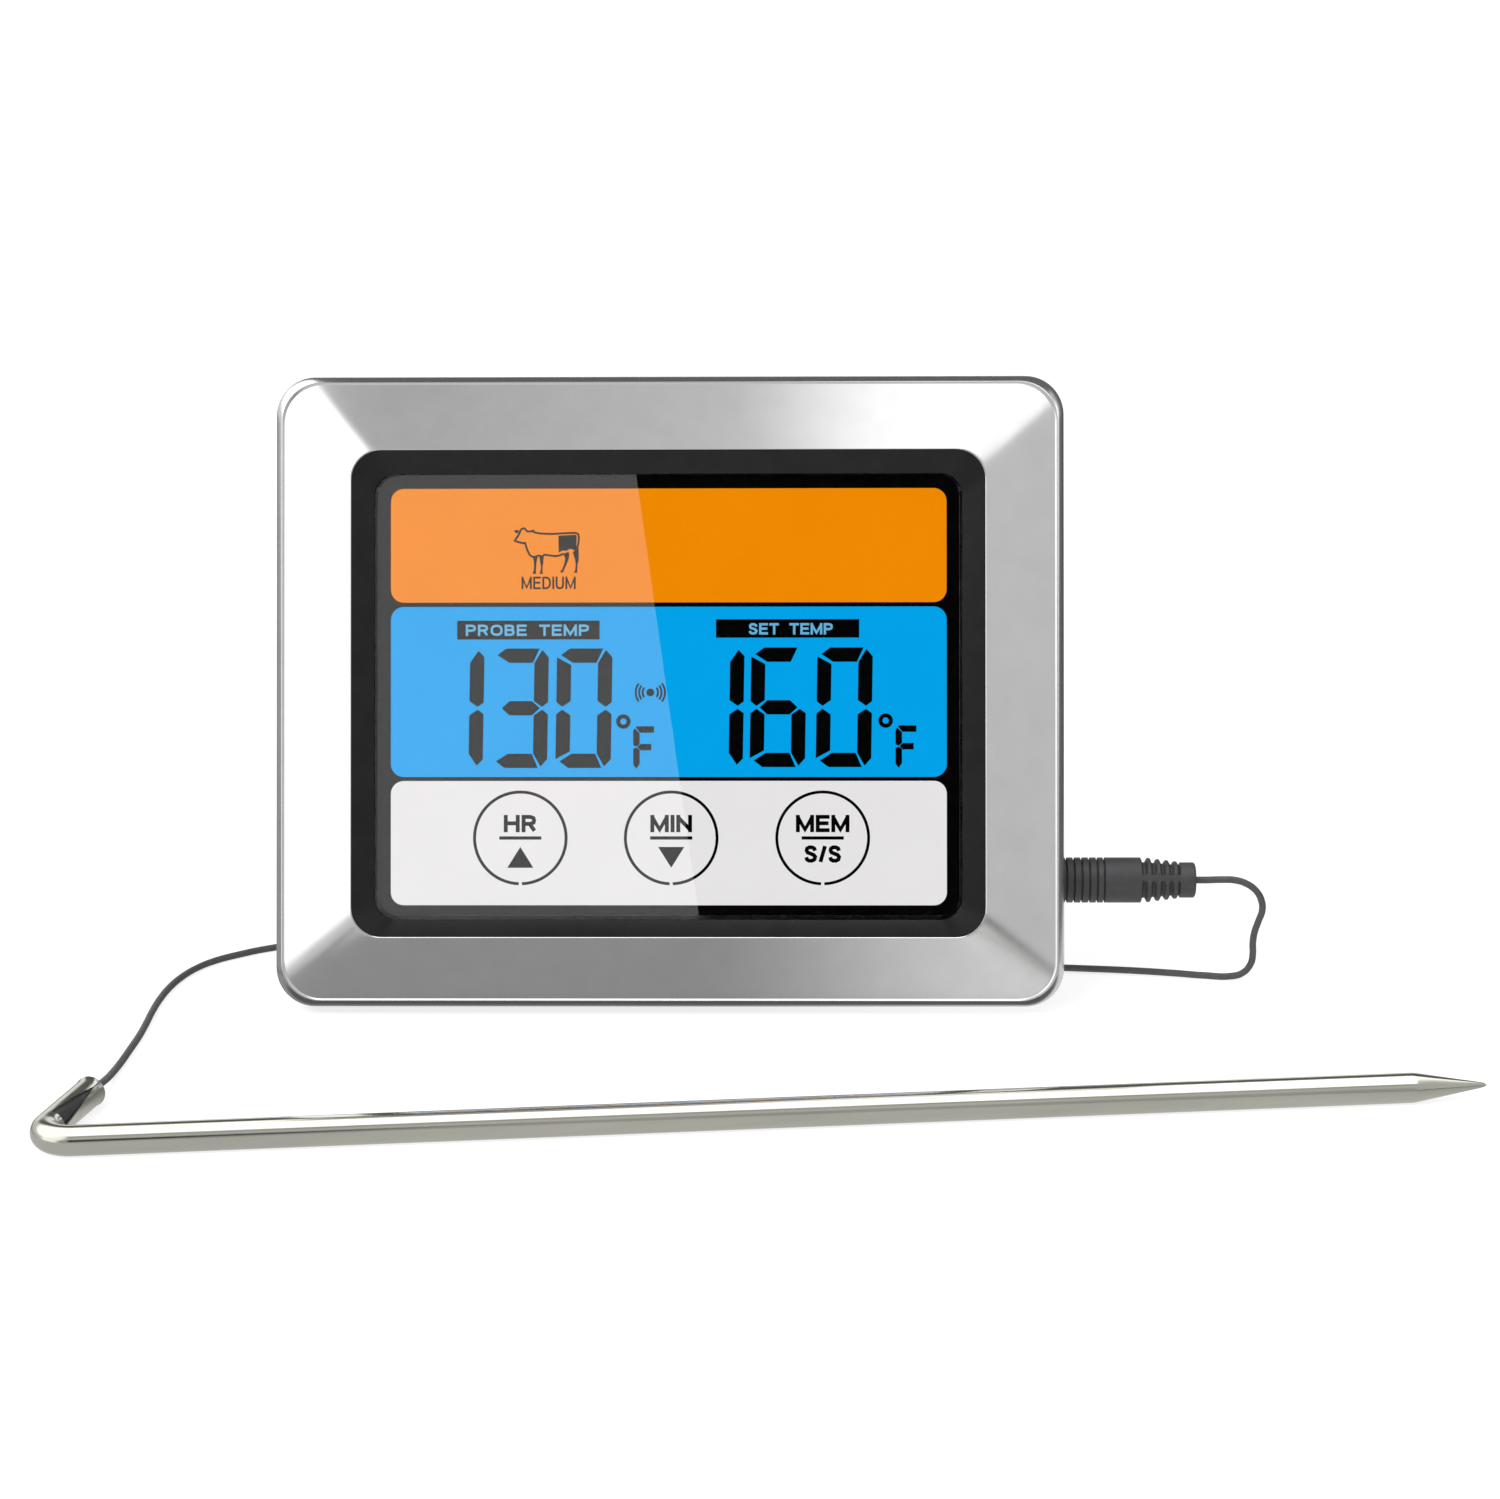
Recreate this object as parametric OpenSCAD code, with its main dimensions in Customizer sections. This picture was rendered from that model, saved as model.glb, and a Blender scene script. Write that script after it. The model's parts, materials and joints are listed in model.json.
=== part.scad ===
// Digital meat thermometer: a leaning display unit with a steel probe on a thin plug-in cable.
// The display unit is drawn in a frame of its own: X to the right, Y into the unit from its
// front face, Z up the face. in_unit() leans it back and stands it on the table.

/* [Housing] */
// Width of the silver front frame
frame_w = 101; // [100.8:0.1:101.2]
// Height of the silver front frame
frame_h = 80.8; // [80.4:0.1:81.2]
// Corner radius of the front frame
frame_r = 5; // [4:0.5:6]
// How far the outer rim lies behind the raised inner edge
rim_depth = 4.5; // [4:0.1:4.8]
// Depth of the front frame from face to back edge
frame_depth = 9.5; // [9.4:0.1:9.6]
// Angle that the face leans back by
lean = 15; // [14.5:0.1:15.5]
// Width of the rear case
case_w = 93; // [92.8:0.1:93.2]
// Depth of the rear case's back, measured from the face
case_back = 22.5; // [22.4:0.1:22.6]
// Wall of the frame and of the rear case
wall = 1.6; // [1.5:0.1:1.7]

/* [Window and display] */
// Half width of the black ring around the window
ring_x = 40.2; // [40:0.1:40.4]
// Width of the ring's sloping band
ring_band = 3.1; // [2.9:0.1:3.3]
// Half width of the liquid crystal display
lcd_x = 36.6; // [36.4:0.1:36.7]
// Half width of the backlight guides
guide_x = 35.5; // [35:0.1:35.5]

/* [Battery compartment] */
// Half length of the compartment
bay_x = 25; // [24.9:0.1:25.1]
// Radius of an AAA cell
cell_r = 5.15; // [5.1:0.05:5.2]
// Length of an AAA cell over its button
cell_l = 44.5; // [44:0.1:44.5]
// How far the door slides to come off
door_travel = 26; // [20:1:27]

/* [Stand] */
// Height of the stand's hinge up the face
hinge_z = 44; // [43.8:0.1:44.1]
// Half width of the stand
stand_x = 17.6; // [16:0.2:17.8]
// Angle between the open stand and the back
stand_open = 34; // [32:0.5:36]

/* [Back] */
// Radius of a holding magnet
magnet_r = 6; // [5:0.5:6]
// Distance of each magnet from the middle
magnet_x = 36; // [35.5:0.1:36.5]
// Height of the magnets up the face
magnet_z = 60; // [59:0.5:61]

/* [Plug] */
// Height of the jack up the face
jack_z = 16; // [15.9:0.05:16.1]
// Depth of the jack behind the face
jack_y = 13; // [12.9:0.05:13.1]
// Radius of the plug's metal shaft
plug_r = 1.25; // [1.2:0.01:1.25]
// Radius of the plug's moulded grip
grip_r = 2.95; // [2.8:0.05:3]
// Length of the moulded grip and its strain relief
grip_l = 21.1; // [21:0.1:21.1]

/* [Probe] */
// Radius of the probe tube
probe_r = 1.8; // [1.7:0.05:1.9]
// Length from the bend's corner to the point
stem_l = 170.5; // [150:0.5:175]
// Length from the bend's corner to the open end
handle_l = 17.1; // [17:0.05:17.2]
// Angle between the stem and the handle
bend_angle = 72; // [71.5:0.5:72.5]
// Radius of the bend's centre line
bend_r = 3.4; // [3:0.1:4]

/* [Cable] */
// Radius of the cable
cable_r = 0.45; // [0.4:0.01:0.45]

/* [Hidden] */
$fn = 64;

// Place of the unit on the table
unit_x = -13.5;
rest_h = frame_depth * sin(lean);

// Front frame and window
bevel_run = 9.4;
ring_z0 = 9.25;
ring_z1 = 71;
ring_r = 3.7;
ring_slope = 1;
open_x = ring_x - ring_band;
open_z0 = 11.65;
open_z1 = 67.9;
open_r = 2.8;
glass_y = 1.2;
glass_t = 0.9;
glass_x = open_x + 1.2;
glass_z0 = 10.4;
glass_z1 = 69.2;
gasket_t = 0.2;
ring_back = 3.4;

// Display stack, by depth behind the face
lcd_y = glass_y + glass_t + gasket_t;
lcd_t = 0.7;
lcd_z0 = 12.1;
lcd_z1 = 68.4;
lcd_ledge = 1.8;
guide_y = 3.85;
guide_t = 2.35;
orange_z = [51.6, 66.4];
blue_z = [29.3, 51.3];
white_z = [13.1, 29];
board_y = 7.2;
board_t = 1.2;
board_x = 39.6;
board_z = [10.6, 70.2];
board_back = board_y + board_t;

// Rear case
case_x = case_w / 2;
case_z0 = 6;
case_z1 = 75;
case_r = 5;
skin_y = case_back - wall;
flange_y = frame_depth - 1.5;
boss_x = 42.2;
boss_zs = [10.4, 70.6];
boss_r = 2.3;
boss_y = 12;
screw_r = 0.95;
screw_seat = 14.6;

// Battery bay
bay_wall = 1.3;
bay_floor = 9.4;
bay_z0 = 48.2;
bay_z1 = case_z1 - wall;
groove = 1.1;
gap = 0.2;
cell_y = 15.45;
cell_zs = [54.2, 65.8];
contact_t = 0.3;

// Stand
hinge_y = 20.6;
knuckle_r = 1.9;
pin_r = 1;
pin_x = 22;
leg_t = 1.8;
foot_r = leg_t / 2;
recess_x = 18.6;
recess_y = 18.4;
recess_z = 46.5;
leg_y = 20.5;
leg_tilt = stand_open - lean;
hinge_h = hinge_z * cos(lean) - hinge_y * sin(lean) + rest_h;
leg_mid = leg_y + foot_r - hinge_y;
leg_l = (hinge_h + leg_mid * sin(leg_tilt) - foot_r) / cos(leg_tilt);

// Controls and sounder on the back
button_x = 32;
button_z = 26;
switch_z = 37;
switch_travel = 2;
buzzer_x = -32;
buzzer_z = 27;
buzzer_r = 10;

// Plug
plug_x = case_x + 0.4;
relief_x = 14.1;
collar_x = 18.9;

// Probe on the table
corner = [-84.5, -45.2, probe_r];
stem_turn = 6.6;
tube_t = 0.35;
tip_l = 9;
bend_t = bend_r / tan(bend_angle / 2);
bend_thin = 0.02;
bend_lap = 2;
bore_r = probe_r - tube_t;
bead_x = stem_l - 16;

// Coil of spare cable, lying behind the unit
coil_at = [16, 35];
coil_low = 0.05;
coil_h = 3.65;
coil_in = 2.1;
coil_out = 8.35;
tie_t = 0.3;

// Route of the cable from the plug down to the table and back to the coil
plug_route = [
    [54.5, 16.7, 14.55], [56.2, 16.7, 14.55], [58, 16.7, 14.6], [59.7, 16.8, 14.5],
    [61.2, 16.9, 14], [62.5, 17.1, 13], [63.3, 17.4, 11.6], [63.5, 17.7, 10.1],
    [63.1, 18.1, 8.5], [62.7, 18.6, 6.8], [62.6, 19.1, 5.1], [62.7, 19.5, 3.6],
    [62.5, 19.8, 2.1], [61.5, 19.7, 0.9], [59.9, 19.5, 0.5], [56.5, 19.8, 0.5],
    [52.5, 20.8, 0.5], [47, 21.9, 0.5], [41, 22.7, 0.5], [35, 23.4, 0.5],
    [29, 24.5, 0.5], [23, 26.3, 0.5], [19.5, 27, 0.5], [16, 27.15, 0.5]
];

// Route of the cable from the coil, under the case and round to the probe's open end
probe_route = [
    [21.5, 29.5, 3.2], [19.4, 27.3, 3], [17, 24.8, 2.5], [14.3, 22.2, 1.8],
    [11, 19.8, 1.1], [7, 18, 0.6], [2, 17, 0.5], [-5, 16.4, 0.5],
    [-13, 16.2, 0.5], [-21, 16.3, 0.5], [-29, 17.2, 0.5], [-37, 19.8, 0.5],
    [-45, 24, 0.5], [-51, 28.4, 0.5], [-56.5, 31.6, 0.5], [-61.5, 33.1, 0.5],
    [-65.5, 32.8, 0.5], [-69.2, 31.1, 0.5], [-72.5, 28.6, 0.5], [-75.2, 26, 0.5],
    [-77.2, 22.8, 0.5], [-78.6, 18.8, 0.5], [-79.4, 14.6, 0.5], [-79.8, 10, 0.5],
    [-79.9, 5, 0.5], [-79.8, 0, 0.5], [-79.8, -5, 0.5], [-80, -10, 0.5],
    [-80.2, -14.5, 0.5], [-80.4, -18.5, 0.65], [-80.45, -22.1, 1.1],
    [-80.6, -25.5, 1.6], [-81.12, -28.44, 1.8]
];

// ---- helpers ----

// Leans the unit's own frame back and stands it on the table
module in_unit() {
    translate([unit_x, 0, rest_h])
        rotate([-lean, 0, 0])
            children();
}

// Box between two opposite corners
module block(x0, x1, y0, y1, z0, z1) {
    translate([x0, y0, z0]) cube([x1 - x0, y1 - y0, z1 - z0]);
}

// Rectangle with round corners, centred
module round_rect(w, h, r) {
    square([w - 2 * r, h], center = true);
    square([w, h - 2 * r], center = true);
    for (x = [-1, 1], y = [-1, 1]) translate([x * (w / 2 - r), y * (h / 2 - r)]) circle(r);
}

// Plate that faces -Y, centred in X, with round corners
module plate(half, z0, z1, y0, y1, r) {
    translate([0, y1, (z0 + z1) / 2])
        rotate([90, 0, 0])
            linear_extrude(y1 - y0) round_rect(2 * half, z1 - z0, r);
}

// Round peg along Y
module peg(x, z, r, y0, y1) {
    translate([x, y1, z]) rotate([90, 0, 0]) cylinder(r = r, h = y1 - y0);
}

// Round rod along X
module rod(x0, x1, y, z, r) {
    translate([x0, y, z]) rotate([0, 90, 0]) cylinder(r = r, h = x1 - x0);
}

// Repeats its children on both sides of the middle
module both_sides() {
    children();
    mirror([1, 0, 0]) children();
}

// Puts its children at the four case screws
module at_screws() {
    for (x = [-1, 1], z = boss_zs) translate([x * boss_x, 0, z]) children();
}

// Everything in front of four planes that slope back to a rim
module bevel_cuts(half, z0, z1, rim, run) {
    slope = atan(rim / run);
    far = 200;
    both_sides()
        translate([half, rim, 0]) rotate([0, 0, slope])
            block(-far, far, -far, 0, -far, far);
    translate([0, rim, z1]) rotate([-slope, 0, 0]) block(-far, far, -far, 0, -far, far);
    translate([0, rim, z0]) rotate([slope, 0, 0]) block(-far, far, -far, 0, -far, far);
}

function unit_of(v) = v / norm(v);
function heading(p, i) = unit_of(p[min(i + 1, len(p) - 1)] - p[max(i - 1, 0)]);
function ring_of(c, t, side, r, n) =
    let (a = unit_of(cross(side, t)), b = cross(t, a))
    [for (k = [0 : n - 1]) c + r * cos(360 * k / n) * a + r * sin(360 * k / n) * b];

// Tube of radius r with n sides along a path; side is never parallel to the path
module sweep(path, r, side, n = 8) {
    m = len(path);
    points = [for (i = [0 : m - 1]) each ring_of(path[i], heading(path, i), side, r, n)];
    walls = [
        for (i = [0 : m - 2], k = [0 : n - 1])
            let (near = i * n + k, next = i * n + (k + 1) % n)
            each [[near, near + n, next + n], [near, next + n, next]]
    ];
    start = [for (k = [0 : n - 1]) k];
    end = [for (k = [0 : n - 1]) m * n - 1 - k];
    polyhedron(points, concat([start], walls, [end]));
}

// ---- front frame and window ----

module front_frame() color("silver") in_unit() difference() {
    union() {
        difference() {
            plate(frame_w / 2, 0, frame_h, 0, frame_depth, frame_r);
            bevel_cuts(frame_w / 2, 0, frame_h, rim_depth, bevel_run);
            difference() {
                plate(frame_w / 2 - wall, wall, frame_h - wall, wall, 2 * frame_depth,
                      frame_r - wall);
                translate([0, wall, 0])
                    bevel_cuts(frame_w / 2, 0, frame_h, rim_depth, bevel_run);
            }
        }
        at_screws() peg(0, 0, boss_r, 2.6, boss_y);
    }
    plate(ring_x + 0.1, ring_z0 - 0.1, ring_z1 + 0.1, -1, 2 * frame_depth, ring_r);
    plate(ring_x + 0.6, ring_z0 - 0.6, ring_z1 + 0.6, 2.7, 2 * frame_depth, ring_r);
    at_screws() peg(0, 0, screw_r, 6, boss_y + 1);
}

module window_ring() color([0.12, 0.12, 0.12]) in_unit() difference() {
    union() {
        plate(ring_x, ring_z0, ring_z1, 0.1, ring_back, ring_r);
        plate(ring_x + 0.5, ring_z0 - 0.5, ring_z1 + 0.5, 2.8, ring_back, ring_r);
    }
    translate([0, 0.1 + ring_slope, 0]) mirror([0, 1, 0]) difference() {
        plate(ring_x + 1, ring_z0 - 1, ring_z1 + 1, 0, 2, ring_r);
        bevel_cuts(ring_x, ring_z0, ring_z1, ring_slope, ring_band);
    }
    plate(open_x, open_z0, open_z1, -1, ring_back + 1, open_r);
    plate(glass_x + 0.1, glass_z0 - 0.1, glass_z1 + 0.1, glass_y, ring_back + 1, open_r);
}

module window_glass() color([0.8, 0.9, 0.95, 0.35]) in_unit()
    plate(glass_x, glass_z0, glass_z1, glass_y, glass_y + glass_t, open_r);

module window_gasket() color([0.1, 0.1, 0.1]) in_unit() difference() {
    plate(glass_x - 0.1, glass_z0 + 0.1, glass_z1 - 0.1, glass_y + glass_t, lcd_y, open_r);
    plate(open_x - 0.1, open_z0 + 0.1, open_z1 - 0.1, glass_y, lcd_y + 1, open_r);
}

module touch_film() color([0.9, 0.85, 0.7, 0.5]) in_unit()
    block(-36.8, 36.8, glass_y + glass_t, lcd_y - 0.02, 14.6, 30);

// ---- display and backlight ----

module lcd_front_glass() color([0.7, 0.8, 0.75, 0.4]) in_unit()
    block(-lcd_x, lcd_x, lcd_y, lcd_y + lcd_t, lcd_z0, lcd_z1);

module lcd_rear_glass() color([0.6, 0.7, 0.65, 0.4]) in_unit()
    block(-lcd_x, lcd_x, lcd_y + lcd_t + 0.02, lcd_y + 2 * lcd_t, lcd_z0, lcd_z1 - lcd_ledge);

module guide(z) in_unit() block(-guide_x, guide_x, guide_y, guide_y + guide_t, z[0], z[1]);
module backlight_orange() color([0.94, 0.52, 0]) guide(orange_z);
module backlight_blue() color([0, 0.63, 0.91]) guide(blue_z);
module backlight_white() color([0.93, 0.93, 0.94]) guide(white_z);

module backlight_reflector() color("white") in_unit()
    block(-guide_x, guide_x, guide_y + guide_t, guide_y + guide_t + 0.2, white_z[0], orange_z[1]);

module backlight_leds() color([1, 0.95, 0.6]) in_unit()
    for (z = [orange_z, blue_z, white_z])
        both_sides() block(guide_x + 0.1, guide_x + 1.1, 4.2, board_y, z[0] + 6, z[0] + 8.6);

module lcd_holder() color([0.85, 0.85, 0.82]) in_unit() difference() {
    union() {
        plate(glass_x - 0.1, glass_z0 + 0.1, glass_z1 - 0.1, lcd_y, guide_y, open_r);
        plate(board_x, board_z[0], board_z[1], ring_back + 0.1, board_y, 1);
    }
    for (z = [[lcd_z0 - 0.1, white_z[1]], blue_z, [orange_z[0], orange_z[1] + 0.05]])
        block(-lcd_x - 0.1, lcd_x + 0.1, guide_y - 0.1, board_y + 1, z[0], z[1]);
    block(-lcd_x - 0.1, lcd_x + 0.1, 0, guide_y - 0.1, lcd_z0 - 0.1, lcd_z1 + 0.1);
    block(-lcd_x - 0.1, lcd_x + 0.1, guide_y + guide_t, board_y + 1, white_z[0], orange_z[1]);
    block(-30.2, 30.2, guide_y - 0.2, board_y + 1, 66.7, 68.5);
    both_sides() for (z = [20, 60]) peg(38.3, z, 0.7, 4, board_y + 1);
}

module zebra_strip() color([0.9, 0.6, 0.7]) in_unit()
    block(-30, 30, lcd_y + lcd_t, board_y, 66.8, 68.3);

// ---- electronics ----

module main_board() color([0.1, 0.4, 0.2]) in_unit() difference() {
    block(-board_x, board_x, board_y, board_back, board_z[0], board_z[1]);
    both_sides() for (z = [20, 60]) peg(38.3, z, 0.8, board_y - 1, board_back + 1);
}

module board_screws() color("gainsboro") in_unit() both_sides() for (z = [20, 60]) {
    peg(38.3, z, 0.7, 4.2, board_back);
    peg(38.3, z, 1.25, board_back, board_back + 0.8);
}

module chip_blob() color([0.05, 0.05, 0.05]) in_unit()
    translate([-6, board_back, 30]) rotate([-90, 0, 0]) rotate_extrude()
        polygon([[0, 0], [5.6, 0], [5, 0.7], [3.6, 1.3], [0, 1.6]]);

module board_parts() color([0.75, 0.65, 0.45]) in_unit() {
    for (i = [0 : 5]) translate([6 + 2.6 * i, board_back, 24]) cube([1, 0.6, 2]);
    for (i = [0 : 4]) translate([-20, board_back, 18 + 2.4 * i]) cube([2, 0.6, 1]);
    for (i = [0 : 3]) translate([-4 + 2.8 * i, board_back, 40]) cube([1.2, 0.8, 2]);
}

module crystal() color("silver") in_unit() rod(8, 16, board_back + 1.5, 34, 1.5);

module capacitor() color([0.15, 0.2, 0.45]) in_unit() {
    peg(-33, 44, 2.5, board_back + 0.6, board_back + 6.5);
    block(-35.6, -30.4, board_back, board_back + 0.6, 41.4, 46.6);
}

module buzzer_disc() color([0.8, 0.65, 0.3]) in_unit()
    peg(buzzer_x, buzzer_z, buzzer_r, skin_y - 0.4, skin_y - 0.2);

module buzzer_ceramic() color([0.9, 0.9, 0.88]) in_unit()
    peg(buzzer_x, buzzer_z, 0.7 * buzzer_r, skin_y - 0.6, skin_y - 0.4);

// ---- rear case ----

// Outer walls, flange and everything moulded onto them
module case_solids() {
    difference() {
        union() {
            plate(frame_w / 2 - wall - 0.3, 1.9, frame_h - 1.9, flange_y, frame_depth, 3.1);
            plate(case_x, case_z0, case_z1, flange_y, case_back, case_r);
        }
        plate(case_x - wall, case_z0 + wall, case_z1 - wall, 0, skin_y, case_r - wall);
    }
    at_screws() peg(0, 0, boss_r + 0.8, boss_y, skin_y + 0.5);
    block(-bay_x - bay_wall, bay_x + bay_wall, bay_floor, skin_y + 0.5, bay_z0 - bay_wall,
          case_z1 - 1);
    block(-recess_x - 1.2, recess_x + 1.2, recess_y - 1.2, skin_y + 0.5, case_z0 + 1, bay_z0);
    both_sides() block(recess_x, pin_x + 1, recess_y - 1, skin_y + 0.5, 41.2, recess_z);
    both_sides() peg(magnet_x, magnet_z, magnet_r + 1.2, 19.5, skin_y + 0.5);
    difference() {
        peg(buzzer_x, buzzer_z, buzzer_r + 1.1, skin_y - 2, skin_y + 0.5);
        peg(buzzer_x, buzzer_z, buzzer_r + 0.1, 0, skin_y);
    }
}

module battery_bay() {
    block(-bay_x, bay_x, bay_floor + 0.8, case_back + 1, bay_z0, bay_z1);
    block(-bay_x - groove, bay_x + groove, skin_y, skin_y + 1, bay_z0, case_z1 + 1);
    block(-bay_x, bay_x, skin_y, case_back + 1, bay_z0, case_z1 + 1);
    for (z = cell_zs) rod(bay_x - 1, bay_x + 3, 14.6, z, 0.6);
}

module rear_case() color([0.78, 0.78, 0.79]) in_unit() difference() {
    case_solids();
    battery_bay();
    block(-recess_x, recess_x, recess_y, case_back + 1, case_z0 - 5, recess_z);
    rod(-pin_x, pin_x, hinge_y, hinge_z, pin_r);
    at_screws() peg(0, 0, screw_r + 0.2, boss_y - 1, case_back + 1);
    at_screws() peg(0, 0, 2.25, screw_seat, case_back + 1);
    both_sides() peg(magnet_x, magnet_z, magnet_r, case_back - 1.8, case_back + 1);
    peg(button_x, button_z, 2.5, skin_y - 1, case_back + 1);
    block(button_x - 2.1, button_x + 2.1, skin_y - 1, case_back + 1, switch_z - 2.2,
          switch_z + switch_travel + 2.2);
    rod(case_x - 3, case_x + 1, jack_y, jack_z, 2.7);
    peg(buzzer_x, buzzer_z, 0.7, skin_y - 1, case_back + 1);
    for (a = [0 : 60 : 300])
        peg(buzzer_x + 3 * cos(a), buzzer_z + 3 * sin(a), 0.7, skin_y - 1, case_back + 1);
}

module case_screws() color("gainsboro") in_unit() at_screws() difference() {
    union() {
        peg(0, 0, screw_r, 6.6, screw_seat);
        peg(0, 0, 2.1, screw_seat, screw_seat + 1.4);
    }
    block(-1.3, 1.3, screw_seat + 0.7, screw_seat + 2, -0.25, 0.25);
    block(-0.25, 0.25, screw_seat + 0.7, screw_seat + 2, -1.3, 1.3);
}

module magnets() color([0.55, 0.55, 0.57]) in_unit()
    both_sides() peg(magnet_x, magnet_z, magnet_r, case_back - 1.8, case_back);

// ---- batteries ----

// A cell with its button towards +X
module cell() {
    rod(0, cell_l - 1, 0, 0, cell_r);
    rod(cell_l - 1, cell_l, 0, 0, 1.9);
}
module battery_cell_lower() color([0.75, 0.6, 0.25]) in_unit()
    translate([bay_x - 0.1 - contact_t - cell_l, cell_y, cell_zs[0]]) cell();
module battery_cell_upper() color([0.75, 0.6, 0.25]) in_unit()
    mirror([1, 0, 0]) translate([bay_x - 0.1 - contact_t - cell_l, cell_y, cell_zs[1]]) cell();

function spring_path(x0, x1, z, turns) = [
    for (i = [0 : 14 * turns])
        let (s = i / (14 * turns), a = 360 * i / 14, r = 3.8 - 1.4 * s)
        [x0 + (x1 - x0) * s, cell_y + r * cos(a), z + r * sin(a)]
];
module battery_springs() color("silver") in_unit() {
    end_x = bay_x - 0.1 - contact_t - 0.3;
    cell_x = bay_x - 0.1 - contact_t - cell_l;
    sweep(spring_path(-end_x, cell_x - 0.35, cell_zs[0], 4), 0.28, [1, 0, 0], 6);
    sweep(spring_path(end_x, 0.35 - cell_x, cell_zs[1], 4), 0.28, [1, 0, 0], 6);
}

module contact(x, z0, z1) in_unit()
    block(x, x + contact_t, bay_floor + 1.2, 19.8, z0, z1);
module link_contact() color("silver") contact(-bay_x + 0.1, 49.5, 70.5);
module positive_contact() color("silver") contact(bay_x - 0.1 - contact_t, 49.5, 59);
module negative_contact() color("silver") contact(bay_x - 0.1 - contact_t, 61, 70.5);

function lead_path(z, drop) = [
    [bay_x - 0.1, 14.6, z], [bay_x + 2, 14.6, z], [bay_x + 4, 14.2, z - drop / 4],
    [bay_x + 5.5, 12.8, z - drop / 2], [bay_x + 6.2, 11, z - 3 * drop / 4],
    [bay_x + 6.4, 9.6, z - drop], [bay_x + 6.4, board_back, z - drop]
];
module lead_red() color("red") in_unit() sweep(lead_path(cell_zs[0], 3), 0.45, [0, 0, 1]);
module lead_black() color([0.1, 0.1, 0.1]) in_unit()
    sweep(lead_path(cell_zs[1], 2), 0.45, [0, 0, 1]);

module battery_door() color([0.78, 0.78, 0.79]) in_unit() difference() {
    union() {
        block(gap - bay_x, bay_x - gap, skin_y + gap, case_back, bay_z0 + gap, case_z1);
        block(gap - bay_x - groove, bay_x + groove - gap, skin_y + gap, skin_y + 1 - gap,
              bay_z0 + gap, case_z1 - wall);
    }
    for (i = [0 : 4])
        block(-7, 7, case_back - 0.5, case_back + 1, 52 + 1.6 * i, 52.8 + 1.6 * i);
}

// ---- stand ----

module stand() color([0.72, 0.72, 0.73]) in_unit()
    translate([0, hinge_y, hinge_z]) rotate([stand_open, 0, 0]) difference() {
        union() {
            rod(-stand_x, stand_x, 0, 0, knuckle_r);
            block(-stand_x, stand_x, leg_mid - foot_r, leg_mid + foot_r, -leg_l, 0);
            rod(-stand_x, stand_x, leg_mid, -leg_l, foot_r);
        }
        rod(-stand_x - 1, stand_x + 1, 0, 0, pin_r + 0.05);
        for (i = [0 : 3])
            block(-9, 9, leg_mid + foot_r - 0.4, leg_mid + 2, -leg_l + 2 + 1.6 * i,
                  -leg_l + 2.8 + 1.6 * i);
    }

module stand_pin() color("silver") in_unit() rod(-pin_x, pin_x, hinge_y, hinge_z, pin_r);

// ---- controls on the back ----

module power_switch_body() color([0.3, 0.3, 0.32]) in_unit() difference() {
    block(button_x - 2.2, button_x + 2.2, board_back, 12, switch_z - 3.4, switch_z + 5.4);
    block(button_x - 1, button_x + 1, 10.4, 13, switch_z - 1.3, switch_z + switch_travel + 1.3);
}

module power_switch_knob() color([0.15, 0.15, 0.16]) in_unit() {
    block(button_x - 0.8, button_x + 0.8, 10.7, 20, switch_z - 1, switch_z + 1);
    block(button_x - 3, button_x + 3, 19.8, skin_y - gap, switch_z - 4.6, switch_z + 4.6);
    block(button_x - 1.9, button_x + 1.9, skin_y - gap, case_back, switch_z - 2, switch_z + 2);
    for (i = [-1 : 1])
        block(button_x - 1.9, button_x + 1.9, case_back, case_back + 0.4, switch_z + 1.3 * i - 0.3,
              switch_z + 1.3 * i + 0.3);
}

module tact_switch() color([0.2, 0.2, 0.2]) in_unit() difference() {
    block(button_x - 3, button_x + 3, board_back, 12, button_z - 3, button_z + 3);
    peg(button_x, button_z, 1.6, 10.6, 13);
}

module tact_plunger() color([0.5, 0.1, 0.1]) in_unit()
    peg(button_x, button_z, 1.5, 11.4, 12.7);

module unit_button() color([0.15, 0.15, 0.16]) in_unit() {
    peg(button_x, button_z, 1.2, 12.7, 20);
    peg(button_x, button_z, 3.3, 19.8, skin_y - gap);
    peg(button_x, button_z, 2.4, skin_y - gap, case_back + 0.4);
}

// ---- jack and plug ----

module jack_body() color([0.1, 0.1, 0.1]) in_unit() difference() {
    union() {
        block(33, case_x - wall - 0.1, jack_y - 3.2, jack_y + 3.2, jack_z - 2.5, jack_z + 2.5);
        block(34, 36, board_back, jack_y - 3, jack_z - 1.8, jack_z + 1.8);
        block(37.4, 39.4, board_back, jack_y - 3, jack_z - 1.8, jack_z + 1.8);
        rod(case_x - wall - 0.2, case_x, jack_y, jack_z, 2.6);
    }
    rod(34.6, case_x + 1, jack_y, jack_z, plug_r + 0.05);
    block(35.5, 43, jack_y + 1.2, jack_y + 2.2, jack_z - 1, jack_z + 1);
}

module jack_contact() color([0.85, 0.7, 0.35]) in_unit()
    block(36, 42.6, jack_y + 1.36, jack_y + 1.56, jack_z - 0.8, jack_z + 0.8);

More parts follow.
